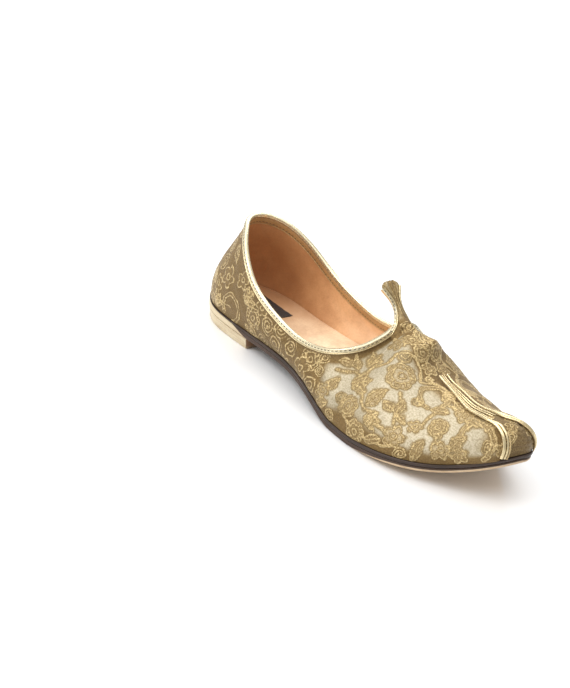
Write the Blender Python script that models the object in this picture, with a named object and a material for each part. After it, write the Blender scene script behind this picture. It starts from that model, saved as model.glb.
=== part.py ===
"""Mojari for the right foot: a brocade slip-on on a thin leather sole with a low heel.

The shoe is modelled in metres, toe towards +X, left side towards +Y, sole on the floor at Z = 0.
Every shape is worked out from the sizes below and from short tables, whose lengths are shares of
those sizes. The upper is a last: ribs that rise from the feather line, where the upper meets the
sole, to the collar and then to the ridge of the vamp.
"""
import bmesh
import bpy
import numpy as np

# Sizes of the last
SHOE_LENGTH = 0.2845
BALL_WIDTH = 0.100
COLLAR_WIDTH = 0.080
BACK_HEIGHT = 0.0755
INSTEP_HEIGHT = 0.0683
HEEL_RISE = 0.0085
TOE_SPRING = 0.030
TOE_DEPTH = 0.0153
THROAT_ROUND = 0.612

# Sizes of the pieces
UPPER_WALL = 0.0020
OUTSOLE_THICKNESS = 0.0030
RAND_THICKNESS = 0.0022
RAND_EDGE = 0.0010
OUTSOLE_EDGE = 0.0006
INSOLE_THICKNESS = 0.0016
INSOLE_MARGIN = 0.0006
HEEL_LENGTH = 0.066
HEEL_INSET = 0.0004
HEEL_TAPER = 0.0020
BINDING_HEIGHT = 0.0028
BINDING_TAB_HEIGHT = 0.0015
BINDING_OVERHANG = 0.0007
TAB_LENGTH = 0.0300
TAB_WIDTH = 0.0160
TAB_ROOT_LEAN = 0.35
TAB_LEAN = 0.76
PIPING_DIAMETER = 0.0020
STRIP_CORD_HEIGHT = 0.0013
STRIP_CORDS = 3
FIT_GAP = 0.0003

# Mesh fineness
WELD = 0.000004
WALL_ROWS = 12
CORD_STEPS = 4
PIPING_SIDES = 8
PIPING_STEPS = 28
SLOPE_STEP = 0.0005

SOLE_STACK = OUTSOLE_THICKNESS + FIT_GAP + RAND_THICKNESS + FIT_GAP
LATERAL = -1.0
MEDIAL = 1.0


def table(names, rows):
    """Return the rows as one array for each named column."""
    return dict(zip(names.split(), np.array(rows, dtype=float).T))


# The feather line seen from above: round is the share of the way from heel to toe along it,
# along is a share of SHOE_LENGTH, lateral and medial are half widths as shares of BALL_WIDTH
FEATHER = table("round along lateral medial", [
    (0.000, 0.000, 0.000, 0.000),
    (0.041, 0.012, 0.125, 0.125),
    (0.081, 0.041, 0.225, 0.225),
    (0.117, 0.076, 0.290, 0.287),
    (0.150, 0.112, 0.320, 0.314),
    (0.194, 0.162, 0.333, 0.322),
    (0.247, 0.224, 0.335, 0.313),
    (0.318, 0.304, 0.340, 0.303),
    (0.388, 0.385, 0.363, 0.309),
    (0.460, 0.466, 0.418, 0.344),
    (0.534, 0.548, 0.476, 0.394),
    (0.608, 0.629, 0.512, 0.440),
    (0.670, 0.699, 0.518, 0.463),
    (0.732, 0.769, 0.492, 0.450),
    (0.799, 0.842, 0.410, 0.387),
    (0.864, 0.902, 0.300, 0.288),
    (0.912, 0.944, 0.220, 0.210),
    (0.946, 0.972, 0.150, 0.144),
    (0.976, 0.990, 0.082, 0.078),
    (1.000, 1.000, 0.000, 0.000),
])

# How high the feather line lies above its lowest place: seat is a share of HEEL_RISE and
# spring of TOE_SPRING. rand is the rand's thickness there as a share of RAND_THICKNESS
LIFT = table("along seat spring rand", [
    (0.000, 1.120, 0.000, 0.40),
    (0.120, 0.970, 0.000, 0.45),
    (0.220, 0.970, 0.000, 0.70),
    (0.320, 1.030, 0.000, 1.00),
    (0.405, 1.060, 0.000, 1.00),
    (0.472, 0.880, 0.000, 1.00),
    (0.525, 0.520, 0.000, 1.00),
    (0.570, 0.150, 0.000, 1.00),
    (0.600, 0.000, 0.000, 1.00),
    (0.660, 0.000, 0.000, 1.00),
    (0.710, 0.000, 0.047, 1.00),
    (0.770, 0.000, 0.120, 1.00),
    (0.830, 0.000, 0.220, 1.00),
    (0.880, 0.000, 0.355, 1.00),
    (0.930, 0.000, 0.575, 1.00),
    (0.970, 0.000, 0.800, 1.00),
    (1.000, 0.000, 1.000, 1.00),
])

# The rim of the upper from the back of the heel to the throat: half is a share of
# COLLAR_WIDTH, back of BACK_HEIGHT and instep of INSTEP_HEIGHT
COLLAR = table("round along half back instep", [
    (0.000, 0.060, 0.000, 1.000, 0.000),
    (0.041, 0.066, 0.094, 0.996, 0.000),
    (0.081, 0.081, 0.175, 0.980, 0.000),
    (0.117, 0.104, 0.250, 0.947, 0.000),
    (0.150, 0.130, 0.322, 0.887, 0.000),
    (0.194, 0.169, 0.397, 0.788, 0.000),
    (0.247, 0.218, 0.450, 0.640, 0.030),
    (0.318, 0.288, 0.479, 0.460, 0.105),
    (0.388, 0.362, 0.490, 0.270, 0.240),
    (0.450, 0.429, 0.497, 0.120, 0.382),
    (0.500, 0.489, 0.495, 0.030, 0.520),
    (0.535, 0.529, 0.472, 0.000, 0.608),
    (0.560, 0.559, 0.415, 0.000, 0.670),
    (0.580, 0.582, 0.306, 0.000, 0.745),
    (0.595, 0.595, 0.178, 0.000, 0.845),
    (0.605, 0.603, 0.079, 0.000, 0.938),
    (0.612, 0.606, 0.000, 0.000, 1.000),
])

# The ridge of the vamp from the throat to the top of the toe: instep is a share of
# INSTEP_HEIGHT, toe of the height of the top of the toe, and aside of BALL_WIDTH, towards
# the outer side of the foot
RIDGE = table("round along instep toe aside", [
    (0.612, 0.606, 1.000, 0.000, 0.000),
    (0.650, 0.641, 0.965, 0.000, 0.000),
    (0.690, 0.676, 0.785, 0.090, 0.000),
    (0.732, 0.718, 0.465, 0.362, 0.000),
    (0.770, 0.760, 0.185, 0.660, 0.006),
    (0.800, 0.798, 0.040, 0.845, 0.020),
    (0.835, 0.844, 0.000, 0.882, 0.042),
    (0.864, 0.875, 0.000, 0.903, 0.052),
    (0.912, 0.909, 0.000, 0.950, 0.057),
    (0.946, 0.930, 0.000, 0.974, 0.054),
    (0.976, 0.944, 0.000, 0.991, 0.049),
    (1.000, 0.950, 0.000, 0.997, 0.046),
])

# The bow of each rib: low_out and high_out are shares of BALL_WIDTH, low_up and high_down of
# the rib's height, and across of the ground that the rib covers
BOW = table("round low_out low_up high_out high_down across", [
    (0.000, 0.055, 0.340, 0.050, 0.340, 0.000),
    (0.150, 0.050, 0.340, 0.035, 0.340, 0.000),
    (0.250, 0.055, 0.340, 0.020, 0.340, 0.000),
    (0.390, 0.075, 0.300, 0.015, 0.340, 0.000),
    (0.500, 0.075, 0.350, 0.015, 0.300, 0.000),
    (0.560, 0.055, 0.420, 0.010, 0.270, 0.000),
    (0.580, 0.045, 0.450, 0.004, 0.220, 0.000),
    (0.597, 0.030, 0.480, 0.000, 0.170, 0.000),
    (0.612, 0.022, 0.500, 0.000, 0.130, 0.000),
    (0.650, 0.026, 0.500, 0.000, 0.030, 0.160),
    (0.690, 0.032, 0.480, 0.000, 0.000, 0.320),
    (0.730, 0.036, 0.470, 0.000, 0.000, 0.400),
    (0.800, 0.036, 0.480, 0.000, 0.000, 0.500),
    (0.860, 0.034, 0.520, 0.000, 0.000, 0.580),
    (0.910, 0.030, 0.540, 0.000, 0.000, 0.600),
    (0.950, 0.020, 0.540, 0.000, 0.000, 0.580),
    (1.000, 0.008, 0.520, 0.000, 0.000, 0.540),
])

# The throat tab from the rim to its tip: along is a share of TAB_LENGTH, half of TAB_WIDTH,
# and fall is how far its edges drop below its middle, as a share of TAB_WIDTH
TAB = table("along half fall", [
    (0.05, 0.415, 0.310),
    (0.13, 0.315, 0.205),
    (0.23, 0.235, 0.130),
    (0.35, 0.180, 0.085),
    (0.49, 0.165, 0.060),
    (0.62, 0.225, 0.055),
    (0.75, 0.345, 0.055),
    (0.86, 0.440, 0.050),
    (0.94, 0.425, 0.045),
    (1.00, 0.300, 0.040),
])
TAB_BINDING_ROWS = 8
TAB_TURN = 0.5
TAB_ROOT_ROUND = 0.013

# The toe pipings on the surface of the last, from the strip down to the sole: round as above,
# and how far up the rib each one lies, as a share of the way from the feather line
PIPING = table("round_lateral lateral round_medial medial", [
    (0.743, 0.953, 0.743, 0.932),
    (0.770, 0.945, 0.768, 0.948),
    (0.800, 0.897, 0.796, 0.958),
    (0.830, 0.863, 0.823, 0.955),
    (0.860, 0.838, 0.852, 0.945),
    (0.890, 0.790, 0.882, 0.932),
    (0.915, 0.738, 0.912, 0.908),
    (0.932, 0.650, 0.936, 0.845),
    (0.943, 0.520, 0.950, 0.700),
    (0.948, 0.365, 0.957, 0.510),
    (0.949, 0.215, 0.957, 0.330),
    (0.947, 0.070, 0.952, 0.080),
])
STRIP_ROUND_START = 0.744
STRIP_ROUND_END = 0.905
STRIP_FADE = 0.25

MATERIALS = {
    "brocade": ((0.52, 0.40, 0.18), 0.45, 0.30),
    "gilt_binding": ((0.80, 0.70, 0.45), 0.32, 0.60),
    "gold_cord": ((0.62, 0.47, 0.20), 0.40, 0.40),
    "dark_edge": ((0.055, 0.030, 0.018), 0.50, 0.00),
    "pale_leather": ((0.72, 0.60, 0.44), 0.55, 0.00),
    "lining_leather": ((0.80, 0.50, 0.30), 0.60, 0.00),
}


def spline(knots, values, level_start=False, level_end=False):
    """Return a smooth curve through the values, one cubic between each pair of knots.

    Slope and bend carry on across every knot. An end is level where asked, and straight
    otherwise.
    """
    gap = np.diff(knots)
    slope = np.diff(values) / gap
    count = len(knots)
    matrix = np.zeros((count, count))
    wanted = np.zeros(count)
    for row in range(1, count - 1):
        matrix[row, row - 1:row + 2] = gap[row - 1], 2 * (gap[row - 1] + gap[row]), gap[row]
        wanted[row] = 6 * (slope[row] - slope[row - 1])
    matrix[0, 0] = matrix[-1, -1] = 1.0
    if level_start:
        matrix[0, :2] = 2 * gap[0], gap[0]
        wanted[0] = 6 * slope[0]
    if level_end:
        matrix[-1, -2:] = gap[-1], 2 * gap[-1]
        wanted[-1] = -6 * slope[-1]
    bend = np.linalg.solve(matrix, wanted)

    def curve(at):
        cell = np.clip(np.searchsorted(knots, at, side="right") - 1, 0, count - 2)
        width = gap[cell]
        right = (at - knots[cell]) / width
        left = 1.0 - right
        line = left * values[cell] + right * values[cell + 1]
        sag = (left**3 - left) * bend[cell] + (right**3 - right) * bend[cell + 1]
        return line + sag * width**2 / 6

    return curve


def steady(knots, values):
    """Return a smooth curve through the values that never overshoots them."""
    gap = np.diff(knots)
    slope = np.diff(values) / gap
    turn = slope[:-1] * slope[1:]
    weight_a = 2 * gap[1:] + gap[:-1]
    weight_b = gap[1:] + 2 * gap[:-1]
    safe = np.where(turn > 0, slope[:-1] * weight_b + slope[1:] * weight_a, 1.0)
    middle = np.where(turn > 0, (weight_a + weight_b) * turn / safe, 0.0)
    tangent = np.concatenate([slope[:1], middle, slope[-1:]])

    def curve(at):
        cell = np.clip(np.searchsorted(knots, at, side="right") - 1, 0, len(knots) - 2)
        width = gap[cell]
        share = np.clip((at - knots[cell]) / width, 0.0, 1.0)
        rise = values[cell + 1] - values[cell]
        start = width * tangent[cell]
        end = width * tangent[cell + 1]
        return values[cell] + share * start + share**2 * (3 * rise - 2 * start - end) \
            + share**3 * (start + end - 2 * rise)

    return curve


FEATHER_ALONG = spline(FEATHER["round"], FEATHER["along"] * SHOE_LENGTH, True, True)
FEATHER_HALF = {
    LATERAL: spline(FEATHER["round"], FEATHER["lateral"] * BALL_WIDTH),
    MEDIAL: spline(FEATHER["round"], FEATHER["medial"] * BALL_WIDTH),
}
SEAT = steady(LIFT["along"], LIFT["seat"])
SPRING = steady(LIFT["along"], LIFT["spring"])
RAND_SHARE = steady(LIFT["along"], LIFT["rand"])
COLLAR_ALONG = spline(COLLAR["round"], COLLAR["along"] * SHOE_LENGTH, True, True)
COLLAR_HALF = spline(COLLAR["round"], COLLAR["half"] * COLLAR_WIDTH)
COLLAR_UP = spline(
    COLLAR["round"], COLLAR["back"] * BACK_HEIGHT + COLLAR["instep"] * INSTEP_HEIGHT, True, True)
TOE_TOP = SOLE_STACK + TOE_SPRING + TOE_DEPTH
RIDGE_ALONG = spline(RIDGE["round"], RIDGE["along"] * SHOE_LENGTH, False, True)
RIDGE_UP = spline(
    RIDGE["round"], RIDGE["instep"] * INSTEP_HEIGHT + RIDGE["toe"] * TOE_TOP, False, True)
RIDGE_ASIDE = spline(RIDGE["round"], RIDGE["aside"] * BALL_WIDTH)
BOW_CURVES = {
    name: spline(BOW["round"], BOW[name]) for name in BOW if name != "round"
}


def feather_height(along):
    """Return the height of the feather line at a distance from the back of the heel."""
    share = along / SHOE_LENGTH
    return SOLE_STACK + SEAT(share) * HEEL_RISE + SPRING(share) * TOE_SPRING


def unit(vectors):
    """Return the vectors scaled to length 1."""
    return vectors / np.linalg.norm(vectors, axis=-1, keepdims=True)


def stack(along, across, up):
    """Return points from their three coordinates."""
    return np.stack(np.broadcast_arrays(along, across, up), axis=-1)


def outline(side, round_share, grow=0.0):
    """Return the feather line of one side, moved outwards by grow, and its outward normals."""
    before = np.clip(round_share - SLOPE_STEP, 0.0, 1.0)
    after = np.clip(round_share + SLOPE_STEP, 0.0, 1.0)
    run = FEATHER_ALONG(after) - FEATHER_ALONG(before)
    spread = side * (FEATHER_HALF[side](after) - FEATHER_HALF[side](before))
    run = np.where((round_share <= 0.0) | (round_share >= 1.0), 0.0, run)
    normal = side * unit(stack(-spread, run, 0.0))
    along = FEATHER_ALONG(round_share) + grow * normal[..., 0]
    across = side * FEATHER_HALF[side](round_share) + grow * normal[..., 1]
    return along, across, normal


def last(side, round_share, up_share):
    """Return points on the outer face of the upper.

    Each rib is a cubic with four handles: the feather line, a handle above and outside it,
    a handle under or beside the top, and the top, which is the rim of the collar and then
    the ridge of the vamp.
    """
    along, across, normal = outline(side, round_share)
    foot = stack(along, across, feather_height(along))
    on_collar = round_share < THROAT_ROUND
    collar_at = np.minimum(round_share, THROAT_ROUND)
    ridge_at = np.maximum(round_share, THROAT_ROUND)
    top = stack(
        np.where(on_collar, COLLAR_ALONG(collar_at), RIDGE_ALONG(ridge_at)),
        np.where(on_collar, side * COLLAR_HALF(collar_at), LATERAL * RIDGE_ASIDE(ridge_at)),
        np.where(on_collar, COLLAR_UP(collar_at), RIDGE_UP(ridge_at)))
    before = np.clip(ridge_at - SLOPE_STEP, THROAT_ROUND, 1.0)
    after = np.clip(ridge_at + SLOPE_STEP, THROAT_ROUND, 1.0)
    ridge_slope = (RIDGE_UP(after) - RIDGE_UP(before)) \
        / (RIDGE_ALONG(after) - RIDGE_ALONG(before))
    bow = {name: curve(round_share) for name, curve in BOW_CURVES.items()}
    height = top[..., 2] - foot[..., 2]
    ground = np.linalg.norm((top - foot)[..., :2], axis=-1)
    upright = stack(0.0, 0.0, height)
    level = stack(normal[..., 0], normal[..., 1], normal[..., 0] * ridge_slope)
    low = foot + normal * (bow["low_out"] * BALL_WIDTH)[..., None] \
        + upright * bow["low_up"][..., None]
    high = top + normal * (bow["high_out"] * BALL_WIDTH)[..., None] \
        - upright * bow["high_down"][..., None] + level * (bow["across"] * ground)[..., None]
    share = np.asarray(up_share)[..., None]
    rest = 1.0 - share
    return rest**3 * foot + 3 * rest**2 * share * low + 3 * rest * share**2 * high \
        + share**3 * top


def last_normal(side, round_share, up_share):
    """Return the outward normals of the upper's outer face, level with the seams it meets at."""
    round_share, up_share = np.broadcast_arrays(round_share, up_share)
    step = SLOPE_STEP
    forward = last(side, np.clip(round_share + step, 0, 1), up_share) \
        - last(side, np.clip(round_share - step, 0, 1), up_share)
    upward = last(side, round_share, np.clip(up_share + step, 0, 1)) \
        - last(side, round_share, np.clip(up_share - step, 0, 1))
    ends = (round_share <= 0.0) | (round_share >= 1.0)
    forward = np.where(ends[..., None], forward * (0, 1, 0), forward)
    ridge = (up_share >= 1.0) & (round_share >= THROAT_ROUND)
    upward = np.where(ridge[..., None], (0.0, -side, 0.0), upward)
    forward = np.where((ridge & ends)[..., None], (1.0, 0.0, 0.0), forward)
    forward = np.where(ridge[..., None], forward * (1, 0, 1), forward)
    normal = np.cross(forward, upward) * -side
    foot = (up_share <= 0.0)[..., None]
    return unit(np.where(foot, normal * (1, 1, 0), normal))


def new_material(name):
    """Return a Principled material with a finish from the table above."""
    color, roughness, metallic = MATERIALS[name]
    material = bpy.data.materials.new(name)
    material.use_nodes = True
    shader = material.node_tree.nodes["Principled BSDF"]
    shader.inputs["Base Color"].default_value = (*color, 1.0)
    shader.inputs["Roughness"].default_value = roughness
    shader.inputs["Metallic"].default_value = metallic
    return material


def add_object(name, mesh_in_work, material):
    """Weld, turn outwards and name a finished bmesh, and return its object."""
    bmesh.ops.remove_doubles(mesh_in_work, verts=mesh_in_work.verts, dist=WELD)
    bmesh.ops.recalc_face_normals(mesh_in_work, faces=mesh_in_work.faces)
    if mesh_in_work.calc_volume(signed=True) < 0.0:
        bmesh.ops.reverse_faces(mesh_in_work, faces=mesh_in_work.faces)
    mesh = bpy.data.meshes.new(name)
    mesh_in_work.to_mesh(mesh)
    mesh_in_work.free()
    mesh.shade_smooth()
    mesh.set_sharp_from_angle(angle=0.7)
    mesh.materials.append(new_material(material))
    piece = bpy.data.objects.new(name, mesh)
    bpy.context.scene.collection.objects.link(piece)
    return piece


def add_loft(name, rings, material, cap_start=True, cap_end=True):
    """Join closed rings of points one after another, cap the ends and return the object."""
    work = bmesh.new()
    loops = [[work.verts.new(point) for point in ring] for ring in rings]
    for near, far in zip(loops, loops[1:]):
        for index in range(len(near)):
            work.faces.new((near[index - 1], near[index], far[index], far[index - 1]))
    if cap_start:
        work.faces.new(loops[0])
    if cap_end:
        work.faces.new(loops[-1])
    return add_object(name, work, material)


def rib_places():
    """Return the shares of the way round at which the upper has ribs, and the tab's first one."""
    heel = np.linspace(0.0, 0.14, 7)[:-1]
    quarter = np.linspace(0.14, 0.53, 14)[:-1]
    front = np.linspace(0.53, THROAT_ROUND - TAB_ROOT_ROUND, 8)[:-1]
    neck = np.linspace(THROAT_ROUND - TAB_ROOT_ROUND, THROAT_ROUND, 4)
    vamp = np.linspace(THROAT_ROUND, 0.90, 13)[1:]
    toe = np.linspace(0.90, 1.0, 7)[1:]
    places = np.concatenate([heel, quarter, front, neck, vamp, toe])
    first_of_neck = len(heel) + len(quarter) + len(front)
    return places, first_of_neck, first_of_neck + len(neck) - 1


def wall_faces(side, places):
    """Return the outer and inner points of one half of the upper, a row for each rib."""
    ribs = places[:, None]
    ups = np.linspace(0.0, 1.0, WALL_ROWS)[None, :]
    outer = last(side, ribs, ups)
    return outer, outer - UPPER_WALL * last_normal(side, ribs, ups)


def tab_rows(rim_outer):
    """Return the tab's rows of outer and inner points above the rim's own row.

    The middle line starts along the ridge of the vamp and turns up, as a quarter of a wave
    would, and each row bends down towards its edges.
    """
    middle = rim_outer[len(rim_outer) // 2]
    places = np.linspace(-1.0, 1.0, len(rim_outer))
    travel = np.concatenate([[0.0], TAB["along"]])
    turned = np.sin(np.minimum(travel / TAB_TURN, 1.0) * np.pi / 2)
    lean = TAB_ROOT_LEAN + (TAB_LEAN - TAB_ROOT_LEAN) * turned
    steps = np.diff(travel) * TAB_LENGTH
    mean_lean = (lean[1:] + lean[:-1]) / 2
    back = middle[0] - np.cumsum(steps * np.cos(mean_lean))
    up = middle[2] + np.cumsum(steps * np.sin(mean_lean))
    outer_rows, inner_rows = [], []
    for index, (half, fall) in enumerate(zip(TAB["half"], TAB["fall"])):
        angle = lean[index + 1]
        face = np.array([np.sin(angle), 0.0, np.cos(angle)])
        drop = fall * TAB_WIDTH * places**2
        across = half * TAB_WIDTH * places
        outer = stack(back[index], across, up[index]) - drop[:, None] * face
        tilt = 2 * fall / half * places
        normal = unit(face + tilt[:, None] * np.array([0.0, 1.0, 0.0]))
        outer_rows.append(outer)
        inner_rows.append(outer - UPPER_WALL * normal)
    return outer_rows, inner_rows


def build_upper():
    """Build the hollow upper with its throat tab, and return it with the rim that is bound."""
    places, neck, throat = rib_places()
    work = bmesh.new()
    outer, inner, outer_verts, inner_verts = {}, {}, {}, {}
    for side in (LATERAL, MEDIAL):
        outer[side], inner[side] = wall_faces(side, places)
        outer_verts[side] = [[work.verts.new(p) for p in rib] for rib in outer[side]]
        inner_verts[side] = [[work.verts.new(p) for p in rib] for rib in inner[side]]
        for rib in range(len(places) - 1):
            for row in range(WALL_ROWS - 1):
                for grid in (outer_verts[side], inner_verts[side]):
                    work.faces.new((grid[rib][row], grid[rib + 1][row],
                                    grid[rib + 1][row + 1], grid[rib][row + 1]))
            out_a, out_b = outer_verts[side][rib], outer_verts[side][rib + 1]
            in_a, in_b = inner_verts[side][rib], inner_verts[side][rib + 1]
            work.faces.new((out_a[0], out_b[0], in_b[0], in_a[0]))
            if rib < neck:
                work.faces.new((out_a[-1], out_b[-1], in_b[-1], in_a[-1]))

    across = list(range(neck, throat + 1))
    lateral_first = [(LATERAL, rib) for rib in across] \
        + [(MEDIAL, rib) for rib in reversed(across[:-1])]
    rim_outer = np.array([outer[side][rib][-1] for side, rib in lateral_first])
    outer_rows, inner_rows = tab_rows(rim_outer)
    rings = [[outer_verts[side][rib][-1] for side, rib in lateral_first]
             + [inner_verts[side][rib][-1] for side, rib in reversed(lateral_first)]]
    for outer_row, inner_row in zip(outer_rows, inner_rows):
        rings.append([work.verts.new(p) for p in (*outer_row, *inner_row[::-1])])
    for near, far in zip(rings, rings[1:]):
        for index in range(len(near)):
            work.faces.new((near[index - 1], near[index], far[index], far[index - 1]))
    width = len(rim_outer)
    tip = rings[-1]
    for index in range(width - 1):
        work.faces.new((tip[index], tip[index + 1], tip[-2 - index], tip[-1 - index]))

    bound = {}
    for name, rows, grid in (("outer", outer_rows, outer), ("inner", inner_rows, inner)):
        lateral_tab = [row[0] for row in rows[:TAB_BINDING_ROWS]][::-1]
        medial_tab = [row[-1] for row in rows[:TAB_BINDING_ROWS]]
        lateral_rim = list(grid[LATERAL][neck::-1, -1])
        medial_rim = list(grid[MEDIAL][1:neck + 1, -1])
        bound[name] = np.array(lateral_tab + lateral_rim + medial_rim + medial_tab)
    return add_object("upper", work, "brocade"), bound


def build_binding(bound):
    """Build the folded binding that caps the collar and runs up both edges of the tab."""
    outer, inner = bound["outer"], bound["inner"]
    middle = (outer + inner) / 2
    run = np.gradient(middle, axis=0)
    thickness = unit(outer - inner)
    off_edge = unit(np.cross(run, thickness))
    high = np.full(len(outer), BINDING_HEIGHT)
    high[:TAB_BINDING_ROWS] = BINDING_TAB_HEIGHT
    high[-TAB_BINDING_ROWS:] = BINDING_TAB_HEIGHT
    high[TAB_BINDING_ROWS] = high[-TAB_BINDING_ROWS - 1] = (BINDING_HEIGHT + BINDING_TAB_HEIGHT) / 2
    half = UPPER_WALL / 2 + BINDING_OVERHANG
    profile = [(-0.82, 0.0), (-1.0, 0.35), (-0.80, 0.80), (0.0, 1.0), (0.80, 0.80), (1.0, 0.35),
               (0.82, 0.0)]
    rings = []
    for index in range(len(outer)):
        ring = [middle[index] + thickness[index] * across * half
                + off_edge[index] * (FIT_GAP + up * high[index]) for across, up in profile]
        rings.append(ring)
    return add_loft("collar_binding", rings, "gilt_binding")


def plate_rings(places, grow, low, high):
    """Return rings of a sole layer: level across, with slightly rounded edges.

    low and high give the heights of its faces at a distance from the back of the heel.
    """
    soften = min(OUTSOLE_EDGE, RAND_EDGE) / 2
    rings = []
    for place in places:
        ring = []
        for side, order in ((LATERAL, 1), (MEDIAL, -1)):
            corner = []
            for inset, share in ((soften, 0.0), (0.0, 0.25), (0.0, 0.75), (soften, 1.0)):
                along, across, _ = outline(side, np.float64(place), grow - inset)
                if side * across < 0.0 or place in (0.0, 1.0):
                    across = 0.0
                bottom, top = low(along), high(along)
                corner.append((along, across, bottom + share * (top - bottom)))
            ring += corner[::order]
        rings.append(ring)
    return rings


def sole_places(last_place=1.0):
    """Return the shares of the way round at which the sole layers have sections."""
    steps = 0.5 - 0.5 * np.cos(np.linspace(0.0, np.pi, 9))
    heel = 0.16 * steps[:5] / steps[4]
    toe = 1.0 - 0.16 * steps[4::-1] / steps[4]
    places = np.concatenate([heel, np.linspace(0.16, 0.84, 25)[1:-1], toe])
    return places[places <= last_place]


def rand_bottom(along):
    """Return the height of the rand's lower face."""
    share = RAND_SHARE(along / SHOE_LENGTH)
    return feather_height(along) - FIT_GAP - RAND_THICKNESS * share


def outsole_bottom(along):
    """Return the height of the outsole's lower face, which is 0 where it stands."""
    return np.maximum(feather_height(along) - SOLE_STACK, 0.0)


def build_sole():
    """Build the rand, the outsole and the insole, which lie one on the other."""
    places = sole_places()
    build = [
        ("rand", RAND_EDGE, rand_bottom, lambda x: feather_height(x) - FIT_GAP, "dark_edge"),
        ("outsole", OUTSOLE_EDGE, outsole_bottom, lambda x: rand_bottom(x) - FIT_GAP,
         "pale_leather"),
        ("insole", -(UPPER_WALL + FIT_GAP + INSOLE_MARGIN), feather_height,
         lambda x: feather_height(x) + INSOLE_THICKNESS, "lining_leather"),
    ]
    return [add_loft(name, plate_rings(places, grow, low, high), material, False, False)
            for name, grow, low, high, material in build]


def build_heel():
    """Build the low heel block under the outsole, cut straight across at its breast."""
    along_of = FEATHER_ALONG(FEATHER["round"])
    breast = np.interp(HEEL_LENGTH, along_of, FEATHER["round"])
    places = np.append(sole_places(breast - 0.01), breast)
    rings = []
    for place in places:
        top_ring = []
        for grow, under in ((OUTSOLE_EDGE - HEEL_INSET, False),
                            (OUTSOLE_EDGE - HEEL_INSET - HEEL_TAPER, True)):
            for side in ((LATERAL, MEDIAL) if under else (MEDIAL, LATERAL)):
                along, across, _ = outline(side, np.float64(place), grow)
                across = 0.0 if place == 0.0 else across
                top = outsole_bottom(along) - FIT_GAP
                top_ring.append((along, across, 0.0 if under else top))
        rings.append(top_ring)
    return add_loft("heel_block", rings, "pale_leather", cap_start=False)


def piping_line(side, count):
    """Return points of the last along one toe piping, and the normals there."""
    name = "lateral" if side == LATERAL else "medial"
    travel = np.linspace(0.0, 1.0, len(PIPING[name]))
    fine = np.linspace(0.0, 1.0, count)
    places = spline(travel, PIPING["round_" + name])(fine)
    ups = spline(travel, PIPING[name])(fine)
    return last(side, places, ups), last_normal(side, places, ups)


def rib_walk(side, place):
    """Return distance from the ridge, points and normals down one rib of the vamp."""
    ups = np.linspace(1.0, 0.3, 120)
    points = last(side, np.full_like(ups, place), ups)
    normals = last_normal(side, np.full_like(ups, place), ups)
    walked = np.concatenate([[0.0], np.cumsum(np.linalg.norm(np.diff(points, axis=0), axis=1))])
    return walked, points, normals


def build_strip():
    """Build the ribbed strip of cords that lies along the ridge between the two pipings."""
    places = np.linspace(STRIP_ROUND_START, STRIP_ROUND_END, 22)
    pipings = {side: piping_line(side, 8 * PIPING_STEPS)[0] for side in (LATERAL, MEDIAL)}
    waves = STRIP_CORDS * CORD_STEPS
    rings = []
    for place in places:
        end = min(place - places[0], places[-1] - place) / (places[-1] - places[0])
        fade = 0.35 + 0.65 * min(1.0, end / STRIP_FADE * 2)
        under, over = [], []
        for side in (LATERAL, MEDIAL):
            walked, points, normals = rib_walk(side, place)
            to_piping = np.linalg.norm(points[:, None] - pipings[side][None], axis=2)
            clear = to_piping.min(axis=1) > PIPING_DIAMETER / 2 + 2 * FIT_GAP
            reach = walked[np.argmin(clear)]
            steps = np.linspace(0.0, 1.0, waves + 1)
            spots = np.stack([np.interp(steps * reach, walked, points[:, k]) for k in range(3)], 1)
            faces = unit(np.stack(
                [np.interp(steps * reach, walked, normals[:, k]) for k in range(3)], 1))
            bump = 0.35 + 0.65 * np.abs(np.cos(steps * np.pi * STRIP_CORDS / 2))
            low = spots + faces * FIT_GAP
            top = spots + faces * (FIT_GAP + STRIP_CORD_HEIGHT * fade * bump)[:, None]
            if side == LATERAL:
                under += list(low[::-1])
                over += list(top[::-1])
            else:
                under += list(low[1:])
                over += list(top[1:])
        rings.append(over + under[::-1])
    return add_loft("centre_strip", rings, "gold_cord")


def build_piping(name, side):
    """Build one toe piping, a cord that follows the last from the strip down to the sole."""
    points, normal = piping_line(side, PIPING_STEPS)
    radius = PIPING_DIAMETER / 2
    centre = points + normal * (radius + FIT_GAP)
    run = unit(np.gradient(centre, axis=0))
    beside = unit(np.cross(run, normal))
    normal = np.cross(beside, run)
    turns = np.arange(PIPING_SIDES) / PIPING_SIDES * 2 * np.pi
    rings = centre[:, None] + radius * (
        np.cos(turns)[None, :, None] * normal[:, None]
        + np.sin(turns)[None, :, None] * beside[:, None])
    return add_loft(name, rings, "gilt_binding")


def centre_on_floor(pieces):
    """Move every piece so that the origin lies under the middle of the shoe, on the floor."""
    corners = np.array([piece.matrix_world @ vertex.co
                        for piece in pieces for vertex in piece.data.vertices])
    middle = (corners.min(axis=0) + corners.max(axis=0)) / 2
    for piece in pieces:
        piece.location = (-middle[0], -middle[1], 0.0)


def main():
    """Build the shoe."""
    for old in list(bpy.data.objects):
        bpy.data.objects.remove(old)
    upper, bound = build_upper()
    pieces = [upper, build_binding(bound), *build_sole(), build_heel(), build_strip(),
              build_piping("toe_piping_lateral", LATERAL),
              build_piping("toe_piping_medial", MEDIAL)]
    centre_on_floor(pieces)


main()
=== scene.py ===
"""Looks of one mojari, a brocade slip-on for the right foot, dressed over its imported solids.

Lengths are metres unless a name ends in _mm. The shoe is worked out with the back of its heel at
x = 0 and its toe towards +x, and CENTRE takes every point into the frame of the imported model.
"""
import logging
from dataclasses import dataclass, field
from enum import Enum
from typing import Callable, Sequence

import bmesh
import bpy
import numpy as np
from mathutils import Matrix, Vector
from numpy.typing import NDArray


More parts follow.
